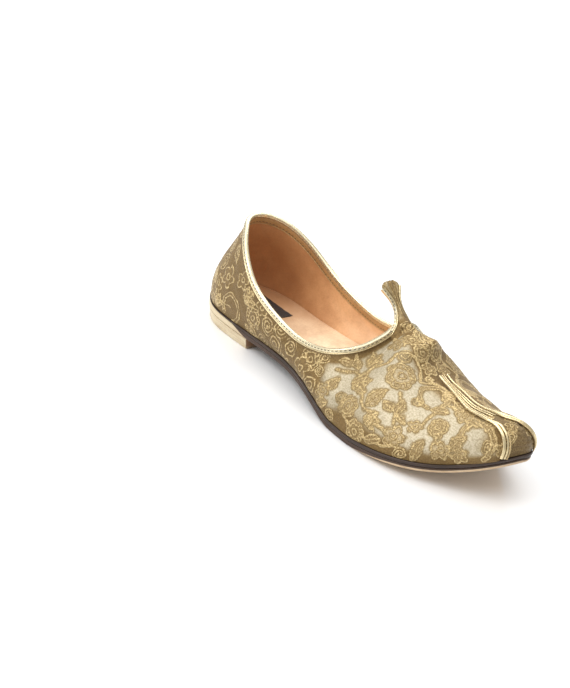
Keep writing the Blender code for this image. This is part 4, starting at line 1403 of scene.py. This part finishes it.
@dataclass
class Tab:
    """The upright tab at the throat: a narrow neck that widens to a gathered, spoon-like tip."""

    length: float = 0.0300
    width: float = 0.0160
    root_lean: float = 0.35
    lean: float = 0.76
    turn: float = 0.5
    root_round: float = 0.013
    wall: float = 0.0020
    rows: int = 90
    across: int = 49
    flute: float = 0.00055
    apron_ahead: float = 0.018

    def outer(self, travel: Array, spots: Array) -> Array:
        """Work out the tab's outer face by a spline through its sections.

        Args:
            travel: Shares of its length from the rim.
            spots: Places across it, from -1 on the lateral edge to 1.

        Returns:
            The points. Each section bends down to its edges as the square of the place across.
        """
        rim_rounds = LAST.throat - np.abs(spots) * self.root_round
        rim = [LAST.point(side, rim_rounds, np.ones(len(spots))) for side in Side]
        target = np.abs(np.where(spots < 0, rim[0][:, 1], rim[1][:, 1]))
        aprons = []
        for share, lift in zip(APRON["ahead"], APRON["lift"]):
            faces = [self.ahead(side, rim_rounds + share * self.apron_ahead, target, lift)
                     for side in Side]
            aprons.append(np.where((spots < 0)[:, None], *faces))
        knots = np.concatenate([[0.0], TAB["along"]])
        lean = self.root_lean + (self.lean - self.root_lean) \
            * np.sin(np.minimum(knots / self.turn, 1.0) * np.pi / 2.0)
        steps = np.diff(knots) * self.length
        mean = (lean[1:] + lean[:-1]) / 2.0
        middle = LAST.point(Side.LATERAL, np.array(LAST.throat), np.array(1.0))
        back = middle[0] - np.cumsum(steps * np.cos(mean))
        up = middle[2] + np.cumsum(steps * np.sin(mean))
        drop = (TAB["fall"] * self.width)[:, None] * spots**2
        across = (TAB["half"] * self.width)[:, None] * spots
        rows = stack(back[:, None] - drop * np.sin(lean[1:])[:, None], across,
                     up[:, None] - drop * np.cos(lean[1:])[:, None])
        rows = np.concatenate([np.array(aprons), rows])
        knots = np.concatenate([APRON["along"][:-1], knots])
        flat = rows.reshape(len(knots), -1)
        dense = np.stack([spline(knots, flat[:, k])(travel) for k in range(flat.shape[1])], 1)
        return dense.reshape(len(travel), len(spots), 3)

    def ahead(self, side: Side, rounds: Array, target: Array, lift: float) -> Array:
        """Find the vamp's points on the given ribs at a distance from the ridge, by halving.

        Args:
            side: Which side of the shoe.
            rounds: The ribs.
            target: How far from the ridge each point lies.
            lift: How far it stands off the last.

        Returns:
            The points.
        """
        low, high = np.full(len(rounds), 0.4), np.ones(len(rounds))
        for _ in range(26):
            middle = (low + high) / 2.0
            outside = np.abs(LAST.point(side, rounds, middle)[:, 1]) > target
            low, high = np.where(outside, middle, low), np.where(outside, high, middle)
        ups = (low + high) / 2.0
        return LAST.point(side, rounds, ups) + lift * LAST.normal(side, rounds, ups)

    def build(self, patterns: Sequence[Embroidery]) -> Piece:
        """Build the tab: its outer rows and a thinner inner face, with lengthwise flutes.

        Args:
            patterns: The brocade of the lateral and of the medial side.

        Returns:
            The tab, whose first rows lie on the vamp and carry its pattern on.
        """
        travel = np.linspace(APRON["along"][0], 1.0, self.rows)
        spots = np.linspace(-1.0, 1.0, self.across)
        outer = self.outer(travel, spots)
        normal = unit(np.cross(np.gradient(outer, axis=0), np.gradient(outer, axis=1)))
        normal = normal * np.sign(normal[self.rows // 2, self.across // 2, 2] or 1.0)
        channels = np.cos(spots * 3.5 * np.pi)[None, :] * smooth(travel, 0.35, 0.8)[:, None]
        channels = channels * smooth(np.abs(spots), 1.0, 0.8)[None, :]
        shift = (self.flute * channels)[..., None] * normal
        end = smooth(travel, 1.0, 0.93)[:, None]
        edge = 1.0 - 0.5 * np.abs(spots)[None, :] ** 6 * smooth(travel, 0.8, 0.95)[:, None]
        thick = self.wall * edge * (0.35 + 0.65 * end)
        top = outer + shift - normal * (0.5 * (self.wall - thick))[..., None]
        slim = 0.4 + 0.6 * smooth(travel, -0.06, 0.06)[:, None]
        low = top - normal * (thick * slim)[..., None]
        rings = np.concatenate([top, low[:, ::-1]], axis=1)
        half = np.interp(travel, TAB["along"], TAB["half"])[:, None] * self.width / MM
        lines = saw(spots[None, :] * 3.5 / 2.0 + 0.5) * 2.0 / 3.5 * half + 0.12
        thread, figure = np.where(spots < 0, *[pattern.draw(outer) for pattern in patterns])
        own = smooth(travel, 0.02, 0.22)[:, None]
        thread = thread * (1.0 - own) + lines * own
        figure = figure * (1.0 - own) + 0.45 * own
        # Painted sheen and shade on the tab: darkest on a strip just beside its middle, paler at
        # its sides.
        tone = 0.95 + (1.7 * lump(spots, 0.12, 0.24)[None, :] - 0.55) * own
        fields = {"thread": thread, "figure": figure, "tone": tone,
                  "edge": np.full(thread.shape, NO_EDGE_MM)}
        return loft("throat_tab", rings, {name: np.concatenate([rows, rows[:, ::-1]], axis=1)
                                          for name, rows in fields.items()})


@dataclass
class Rim:
    """The edge that is bound: up one side of the tab, round the collar and up the other."""

    tab: Tab
    wall: float = 0.0020
    step: float = 0.0009
    tab_end: float = 0.86

    def line(self) -> tuple[Array, Array, Array]:
        """Work out the edge's middle line and its two directions.

        Returns:
            Its points, the direction from the inside out, and the direction off the edge.
        """
        neck = LAST.throat - self.tab.root_round
        rounds = np.linspace(neck, 0.0, 420)
        travel = np.linspace(self.tab_end, 0.05, 60)
        outer, inner = [], []
        spots = np.linspace(-1.0, 1.0, 41)
        face = self.tab.outer(travel, spots)
        normal = unit(np.cross(np.gradient(face, axis=0), np.gradient(face, axis=1)))
        normal = normal * np.sign(normal[30, 20, 2])
        for side, order in ((Side.LATERAL, 1), (Side.MEDIAL, -1)):
            column = 0 if side is Side.LATERAL else -1
            rim = LAST.point(side, rounds, np.ones_like(rounds))
            rim_in = rim - self.wall * LAST.normal(side, rounds, np.ones_like(rounds))
            tab_out = face[:, column]
            tab_in = tab_out - self.wall * normal[:, column]
            outer.append(np.concatenate([tab_out, rim])[::order])
            inner.append(np.concatenate([tab_in, rim_in])[::order])
        out = np.concatenate([outer[0], outer[1][1:]])
        into = np.concatenate([inner[0], inner[1][1:]])
        middle, thick = even((out + into) / 2.0, self.step, out - into)
        middle, thick = calm(middle, 7), unit(calm(thick, 8))
        off = unit(np.cross(np.gradient(middle, axis=0), thick))
        return middle, thick, off


@dataclass
class Binding:
    """The folded gilt tape on the edge, the bead under it and its row of stitches."""

    rim: Rim
    height: float = 0.0028
    tab_height: float = 0.0015
    overhang: float = 0.0007
    gap: float = 0.0003
    bead_radius: float = 0.00042
    bead_out: float = 0.00035
    bead_down: float = 0.00025
    stitch_pitch: float = 0.0029
    stitch: Sizes = (0.0017, 0.00076, 0.00036)
    inner_stitch: Sizes = (0.0017, 0.00055, 0.00028)

    def build(self, finishes: Finishes) -> None:
        """Build and dress the tape, the bead and the stitches.

        Args:
            finishes: The shoe's materials.
        """
        middle, thick, off = self.rim.line()
        count = len(middle)
        place = np.minimum(np.arange(count), np.arange(count)[::-1]) * self.rim.step
        on_collar = smooth(place, 0.019, 0.034)
        high = self.tab_height + (self.height - self.tab_height) * on_collar
        half = self.rim.wall / 2.0 + self.overhang
        profile = np.stack([TAPE["across"], TAPE["off"]], axis=1)
        profile = np.concatenate([profile, profile[-2::-1] * (-1.0, 1.0)])
        rings = middle[:, None] + half * profile[None, :, :1] * thick[:, None] \
            + (self.gap + profile[None, :, 1:] * high[:, None, None]) * off[:, None]
        dress(loft("gilt_tape", rings), finishes.gilt, "gilt_binding", "collar_binding")
        bead = middle + thick * (self.rim.wall / 2.0 + self.bead_out) - off * self.bead_down
        rings = sweep(bead, thick, circle(self.bead_radius, 10))
        dress(loft("rim_bead", rings), finishes.bead, "gilt_binding")
        at = np.arange(2.0, count - 2.0, self.stitch_pitch / self.rim.step)
        level = middle + thick * (0.93 * half) + off * (self.gap + 0.44 * high)[:, None]
        inside = middle - thick * (0.92 * half) + off * (self.gap + 0.45 * high)[:, None]
        level, inside, run, thick = (between(rows, np.arange(count), at) for rows in (
            level, inside, np.gradient(middle, axis=0), thick))
        dress(stitches("binding_stitches", level, run, thick, *self.stitch), finishes.dash,
              "gilt_binding")
        dress(stitches("binding_stitches_inside", inside, run, -thick, *self.inner_stitch),
              finishes.light_dash, "gilt_binding")


@dataclass
class Lining:
    """The leather lining of both sides, and the stitched facing band inside the collar."""

    outer_depth: float = 0.00105
    inner_depth: float = 0.0020
    sag: float = 0.0016
    ribs: int = 240
    rows: int = 44
    band_width: float = 0.0052
    stitch_depth: float = 0.0036
    stitch_pitch: float = 0.0026
    stitch: Sizes = (0.0016, 0.00045, 0.0003)

    def half(self, side: Side) -> Piece:
        """Build one side's lining as a thin shell inside the brocade.

        Args:
            side: The side of the shoe.

        Returns:
            The shell, lowered by sag along the ridge and kept on its own side of it.
        """
        rounds = np.linspace(0.0, 1.0, self.ribs)[:, None]
        ups = np.linspace(0.0, 1.0, self.rows)[None, :]
        points, normals = LAST.point(side, rounds, ups), LAST.normal(side, rounds, ups)
        wave = 0.00012 * np.sin(rounds * 55.0 + ups * 7.0) * np.sin(ups * 9.0)
        inner = points - normals * (self.inner_depth + wave * smooth(ups, 1.0, 0.9))[..., None]
        outer = points - normals * self.outer_depth
        rings = np.concatenate([inner, outer[:, ::-6]], axis=1)
        high = np.concatenate([ups, ups[:, ::-6]], axis=1)
        rings[..., 2] -= self.sag * smooth(high, 0.86, 0.97) \
            * smooth(rounds, LAST.throat - 0.006, LAST.throat + 0.004)
        rings[..., 1] = side.value * np.maximum(side.value * rings[..., 1], 0.0)
        return loft("lining_" + side.name.lower(), rings)

    def band_edge(self, depth: float, lift: float) -> tuple[Array, Array]:
        """Work out a line at a depth below the rim on the inner face, from side to side.

        Args:
            depth: How far it lies below the rim.
            lift: How far it lies off the inner face.

        Returns:
            Its points, and the directions into the shoe.
        """
        rounds = np.linspace(LAST.throat - 0.016, 0.0, 330)
        lines, faces = [], []
        for side in Side:
            ups = LAST.drop(side, rounds, depth) if depth else np.ones_like(rounds)
            normal = LAST.normal(side, rounds, ups)
            lines.append(LAST.point(side, rounds, ups) - normal * (self.inner_depth + lift))
            faces.append(-normal)
        return (np.concatenate([lines[0], lines[1][::-1][1:]]),
                np.concatenate([faces[0], faces[1][::-1][1:]]))

    def build(self, finishes: Finishes) -> None:
        """Build and dress the lining, the band, its edge cord and its stitches.

        Args:
            finishes: The shoe's materials.
        """
        for side in Side:
            dress(self.half(side), finishes.lining, "lining_leather")
        depths = np.linspace(0.0002, self.band_width, 9)
        swell = 0.00042 * (1.0 - np.linspace(-1.0, 1.0, 9) ** 6)
        top = np.stack([self.band_edge(d, s)[0] for d, s in zip(depths, swell)], axis=1)
        low = np.stack([self.band_edge(d, -0.0001)[0] for d in depths[::-4]], axis=1)
        dress(loft("facing_band", np.concatenate([top, low], axis=1)), finishes.facing,
              "lining_leather")
        line, out = self.band_edge(self.band_width, 0.0)
        line, out = even(line, 0.001, out)
        dress(loft("facing_cord", sweep(line, out, circle(0.00032, 8))), finishes.cord,
              "gilt_binding")
        path, face = self.band_edge(self.stitch_depth, 0.00044)
        path, face = even(path, self.stitch_pitch, face)
        dress(stitches("facing_stitches", path[1:-1], np.gradient(path, axis=0)[1:-1],
                       face[1:-1], *self.stitch), finishes.dash, "lining_leather")


@dataclass
class ToeTrim:
    """The cords along the ridge and the two pipings that run from them down the nose."""

    radius: float = 0.0010
    gap: float = 0.0003
    cords: int = 3
    start: float = 0.744
    end: float = 0.905

    def piping(self, seam: ToeSeam) -> Array:
        """Work out one piping: a slightly flattened cord on the last along its seam.

        Args:
            seam: Its seam.

        Returns:
            Its rings, which grow from the strip to the nose.
        """
        points, normals = seam.line(260)
        centre = points + normals * (self.radius + self.gap)
        centre, out = even(centre, 0.0007, normals)
        walked = np.linspace(0.0, 1.0, len(centre))
        size = 0.62 + 0.38 * smooth(walked, 0.25, 0.60)
        size = size * (0.5 + 0.5 * smooth(walked, 0.0, 0.04))
        return sweep(centre, out, circle(self.radius, 14, 0.88), size)

    def inner_cord(self, seam: ToeSeam, offset: float, first: float, radius: float) -> Array:
        """Work out a thinner cord beside the lower part of a piping, on the nose's side.

        Args:
            seam: The piping's seam.
            offset: How far the cord lies from the piping's middle.
            first: The share of the way down at which it starts.
            radius: Its radius.

        Returns:
            Its rings.
        """
        points, normals = seam.line(260)
        points, normals = points[int(260 * first):], normals[int(260 * first):]
        run = unit(np.gradient(points, axis=0))
        beside = np.cross(run, normals) * -seam.side.value
        toward = beside * np.sign((beside * (1.0, 0.0, 0.0)).sum(-1).mean())
        share = np.linspace(0.0, 1.0, len(points))[:, None]
        width = offset * smooth(share, 0.0, 0.35)
        centre = points + toward * width + normals * (radius * 0.8 + 0.0001)
        centre, out = even(centre, 0.0007, normals)
        return sweep(centre, out, circle(radius, 10, 0.85))

    def strip(self) -> list[Array]:
        """Work out the cords side by side on the ridge between the two pipings."""
        count = 90
        rounds = np.linspace(self.start, self.end, count)
        ups = np.linspace(1.0, 0.3, 240)
        seams = {side: ToeSeam(side).line(400)[0] for side in Side}
        rows, faces, walks = [], [], []
        for side in Side:
            points = LAST.point(side, rounds[:, None], ups[None])
            normals = LAST.normal(side, rounds[:, None], ups[None])
            walked = np.linalg.norm(np.diff(points, axis=1), axis=2).cumsum(axis=1)
            walked = np.concatenate([np.zeros((count, 1)), walked], axis=1)
            gap = np.stack([np.sqrt(((row[:, None] - seams[side][None]) ** 2).sum(-1).min(1))
                            for row in points])
            reach = walked[np.arange(count), np.argmax(gap < self.radius + 0.0002, axis=1)]
            rows.append(points)
            faces.append(normals)
            walks.append((walked, reach))
        reach = [calm(np.repeat(w[1][:, None], 3, 1), 8)[:, 0] for w in walks]
        result = []
        total = reach[0] + reach[1]
        for index in range(self.cords):
            signed = -reach[0] + total * (index + 0.5) / self.cords
            line, out = np.zeros((count, 3)), np.zeros((count, 3))
            for row in range(count):
                pick = 0 if signed[row] < 0 else 1
                walked, at = walks[pick][0][row], abs(signed[row])
                line[row] = between(rows[pick][row], walked, at)
                out[row] = between(faces[pick][row], walked, at)
            line, out = calm(line, 5), unit(calm(out, 5))
            size = calm(np.repeat((total / self.cords / 2.0)[:, None], 3, 1), 5)[:, 0]
            share = np.linspace(0.0, 1.0, count)
            fade = smooth(share, 0.0, 0.05) * 0.5 + 0.5 - 0.55 * smooth(share, 0.78, 1.0)
            ring = circle(1.0, 12)
            scale = np.clip(size * 0.46, 0.00026, 0.00055) * fade
            result.append(sweep(line + out * (0.85 * scale)[:, None], out, ring, scale))
        return result

    def build(self, finishes: Finishes) -> None:
        """Build and dress the pipings, the inner cords and the strip.

        Args:
            finishes: The shoe's materials.
        """
        for side in Side:
            seam, name = ToeSeam(side), side.name.lower()
            dress(loft("piping_" + name, self.piping(seam)), finishes.bead, "gilt_binding",
                  "toe_piping_" + name)
            dress(loft("nose_cord_" + name, self.inner_cord(seam, 0.0021, 0.42, 0.00075)),
                  finishes.bead, "gilt_binding")
            dress(loft("nose_edge_" + name, self.inner_cord(seam, 0.0036, 0.62, 0.00055)),
                  finishes.cord, "gold_cord")
        for index, rings in enumerate(self.strip()):
            nodes = ("centre_strip",) if index == 1 else ()
            dress(loft(f"ridge_cord_{index + 1}", rings), finishes.bead, "gilt_binding", *nodes)


@dataclass
class Sole:
    """The layers under the foot: rand, outsole and insole, the heel block and the patch."""

    rand: float = 0.0022
    gap: float = 0.0003
    rand_edge: float = 0.0010
    outsole_edge: float = 0.0006
    insole: float = 0.0016
    insole_margin: float = 0.0006
    wall: float = 0.0020
    heel_length: float = 0.066
    heel_inset: float = 0.0004
    heel_taper: float = 0.0020
    patch_middle: tuple[float, float] = (0.0395, 0.0073)
    patch_half: tuple[float, float] = (0.0215, 0.0057)
    patch_turn: float = -0.055
    shares: Array = field(default_factory=lambda: np.array(
        [0.0, 0.04, 0.14, 0.3, 0.5, 0.7, 0.86, 0.96, 1.0]))

    def rand_bottom(self, along: Array) -> Array:
        """Return the height of the rand's lower face."""
        share = LAST.curves["rand"](along / LAST.length)
        return LAST.feather_height(along) - self.gap - self.rand * share

    def ground(self, along: Array) -> Array:
        """Return the height of the outsole's lower face, which is 0 where it stands."""
        return np.maximum(LAST.feather_height(along) - LAST.sole_stack, 0.0)

    def plate(self, grow: float, soften: float, low: Curve, high: Curve) -> Array:
        """Work out a sole layer: level across, with a rounded edge.

        Args:
            grow: How far its edge lies outside the feather line.
            soften: The radius of its edges.
            low: The height of its lower face by the distance from the heel.
            high: The height of its upper face.

        Returns:
            Rings across the shoe, whose edge insets follow 1 - sqrt(1 - t^2).
        """
        steps = 0.5 - 0.5 * np.cos(np.linspace(0.0, np.pi, 221))
        rounds = 0.5 * steps + 0.5 * np.linspace(0.0, 1.0, 221)
        shares = self.shares
        from_middle = np.abs(2.0 * shares - 1.0)
        inset = soften * (1.0 - np.sqrt(1.0 - np.maximum(from_middle - 0.25, 0.0) ** 2 / 0.5626))
        sides = []
        for side, order in ((Side.LATERAL, 1), (Side.MEDIAL, -1)):
            lines = []
            for share, back in zip(shares, inset):
                along, across, _ = LAST.outline(side, rounds, grow - back)
                across = np.where(side.value * across < 0.0, 0.0, across)
                across[0] = across[-1] = 0.0
                bottom, top = low(along), high(along)
                lines.append(stack(along, across, bottom + share * (top - bottom)))
            sides.append(np.stack(lines, axis=1)[:, ::order])
        return np.concatenate(sides, axis=1)

    def block(self) -> Array:
        """Work out the heel block: it narrows downwards and ends in a straight breast."""
        along_of = LAST.curves["along"](FEATHER["round"])
        breast = float(np.interp(self.heel_length, along_of, FEATHER["round"]))
        rounds = np.concatenate([breast * (1.0 - np.cos(np.linspace(0.0, np.pi / 2.0, 70))) * 0.98,
                                 [breast - 0.0012, breast]])
        shares = np.array([0.0, 0.03, 0.3, 0.6, 0.9, 0.97, 1.0])
        nib = np.array([0.0, 0.0, 0.0, 0.0, 0.0, 0.0002, 0.0008])
        sides = []
        for side, order in ((Side.MEDIAL, -1), (Side.LATERAL, 1)):
            lines = []
            for share, inset in zip(shares, nib):
                grow = self.outsole_edge - self.heel_inset - share * self.heel_taper - inset
                along, across, _ = LAST.outline(side, rounds, grow)
                across[0] = 0.0
                across[-1] -= side.value * 0.0004
                top = self.ground(along) - self.gap
                lines.append(stack(along, across, top * (1.0 - share)))
            sides.append(np.stack(lines, axis=1)[:, ::order])
        return np.concatenate(sides, axis=1)

    def patch(self) -> Array:
        """Work out the woven patch: a thin slip on the insole with two slightly lifted corners."""
        middle, turn = self.patch_middle, self.patch_turn
        long, wide = self.patch_half
        along = np.linspace(-long, long, 60)
        across = np.concatenate([np.linspace(-wide, wide, 24)] * 2)
        across[24:] = across[24:][::-1]
        top = np.repeat([0.00042, 0.00008], 24)
        x, y = np.meshgrid(along, across, indexing="ij")
        floor = LAST.feather_height(middle[0] + x) + self.insole
        curl = 0.0005 * smooth(x, 0.012, long) * smooth(np.abs(y), 0.002, wide)
        curl = curl + 0.00012 * np.sin(x * 900.0) * smooth(np.abs(y), 0.003, wide)
        return stack(middle[0] + x * np.cos(turn) - y * np.sin(turn),
                     middle[1] + x * np.sin(turn) + y * np.cos(turn),
                     floor + top[None] + np.maximum(curl, 0.0))

    def build(self, finishes: Finishes) -> None:
        """Build and dress every layer.

        Args:
            finishes: The shoe's materials.
        """
        rand = self.plate(self.rand_edge, 0.0006, self.rand_bottom,
                          lambda x: LAST.feather_height(x) - self.gap)
        shares = np.tile(np.concatenate([self.shares, self.shares[::-1]]), (len(rand), 1))
        dress(loft("dark_rand", rand, {"stain": shares}, True), finishes.dark, "dark_edge", "rand")
        sole = self.plate(self.outsole_edge, 0.0007, self.ground,
                          lambda x: self.rand_bottom(x) - self.gap)
        dress(loft("leather_sole", sole, {"stain": shares}, True), finishes.sole,
              "pale_leather", "outsole")
        board = self.plate(-(self.wall + self.insole_margin / 4.0), 0.0004,
                           LAST.feather_height, lambda x: LAST.feather_height(x) + self.insole)
        dress(loft("insole_board", board, weld=True), finishes.insole, "lining_leather", "insole")
        dress(loft("heel_stack", self.block(), weld=True), finishes.block, "pale_leather",
              "heel_block")
        dress(loft("woven_patch", self.patch()), finishes.patch, "lining_leather")


@dataclass
class BackSeam:
    """The seam up the back: a narrow flat cord with a row of stitches on each side."""

    beside: float = 0.0068

    def build(self, finishes: Finishes) -> None:
        """Build and dress the cord and its stitches.

        Args:
            finishes: The shoe's materials.
        """
        ups = np.linspace(0.02, 0.975, 90)
        zero = np.zeros_like(ups)
        line = LAST.point(Side.LATERAL, zero, ups)
        out = LAST.normal(Side.LATERAL, zero, ups)
        dress(loft("back_seam", sweep(line + out * 0.0002, out, circle(0.00062, 10, 0.7))),
              finishes.cord, "gold_cord")
        for side in Side:
            rounds = np.full_like(ups, self.beside)
            along = LAST.point(side, rounds, ups)
            face = LAST.normal(side, rounds, ups)
            along, face = even(along, 0.0027, face)
            dress(stitches("back_stitches_" + side.name.lower(), along[1:-1] + face[1:-1] * 0.0001,
                           np.gradient(along, axis=0)[1:-1], face[1:-1], 0.0016, 0.0006, 0.0004),
                  finishes.light_dash, "gold_cord")


@dataclass
class Studio:
    """The plain pale floor, the soft lights and the camera at the photograph's angle."""

    place: tuple[float, float, float] = (0.534005, -0.637724, 0.428416)
    right: tuple[float, float, float] = (0.6454, 0.7389, 0.19361)
    up: tuple[float, float, float] = (-0.44924, 0.16219, 0.87857)
    ahead: tuple[float, float, float] = (-0.61777, 0.65401, -0.43662)
    lens: float = 73.268

    def light(self, name: str, place: Sequence[float], size: float, power: float,
              target: Sequence[float] = (0.0, 0.0, 0.03)) -> None:
        """Add one square area light.

        Args:
            name: Its name.
            place: Where it stands.
            size: The length of its side.
            power: Its power in watts.
            target: The point that it looks at, by default on the shoe.
        """
        data = bpy.data.lights.new(name, "AREA")
        data.size, data.energy = size, power
        lamp = bpy.data.objects.new(name, data)
        lamp.location = place
        aim = Vector(target) - Vector(place)
        lamp.rotation_euler = aim.to_track_quat("-Z", "Y").to_euler()
        bpy.context.scene.collection.objects.link(lamp)

    def build(self) -> None:
        """Build the floor, the lights and the camera."""
        scene = bpy.context.scene
        g = Graph("studio_floor")
        g.set(Base_Color=(0.90, 0.90, 0.90), Roughness=g.rise(g.noise(3.0), 0.3, 0.7, 0.05, 0.07))
        mesh = bpy.data.meshes.new("studio_floor")
        mesh.from_pydata([(-6, -6, 0), (6, -6, 0), (6, 6, 0), (-6, 6, 0)], [], [(0, 1, 2, 3)])
        mesh.materials.append(g.material)
        floor = bpy.data.objects.new("studio_floor", mesh)
        scene.collection.objects.link(floor)
        world = bpy.data.worlds.new("soft_room")
        world.use_nodes = True
        world.node_tree.nodes["Background"].inputs["Color"].default_value = (1.0, 1.0, 1.0, 1.0)
        world.node_tree.nodes["Background"].inputs["Strength"].default_value = 0.56
        scene.world = world
        self.light("key", (-0.45, -1.00, 0.80), 0.9, 10.0)
        self.light("top", (0.0, -0.3, 2.2), 2.8, 40.0)
        self.light("far", (-1.3, 1.5, 1.6), 1.8, 46.0, (-1.5, 1.8, 0.0))
        data = bpy.data.cameras.new("camera")
        data.lens, data.sensor_width, data.sensor_fit = self.lens, 36.0, "AUTO"
        camera = bpy.data.objects.new("camera", data)
        scene.collection.objects.link(camera)
        axes = np.array([self.right, self.up, -np.array(self.ahead)]).T
        turn = Matrix([list(row) for row in axes]).to_4x4()
        camera.matrix_world = Matrix.Translation(self.place) @ turn
        scene.camera = camera
        scene.view_settings.view_transform = "Standard"


def main() -> None:
    """Build and dress the whole shoe."""
    logging.basicConfig(level=logging.INFO, format="%(message)s")
    Studio().build()
    finishes = Finishes()
    patterns = []
    for side, seed, slide in ((Side.LATERAL, 7, 0.0), (Side.MEDIAL, 11, 0.008)):
        patterns.append(Embroidery(side, seed, slide))
        nodes = ("upper",) if side is Side.LATERAL else ()
        dress(Cover(side, patterns[-1]).build(), finishes.brocade, "brocade", *nodes)
    tab = Tab()
    dress(tab.build(patterns), finishes.brocade, "brocade")
    Binding(Rim(tab)).build(finishes)
    Lining().build(finishes)
    ToeTrim().build(finishes)
    Sole().build(finishes)
    BackSeam().build(finishes)


if __name__ == "__main__":
    main()
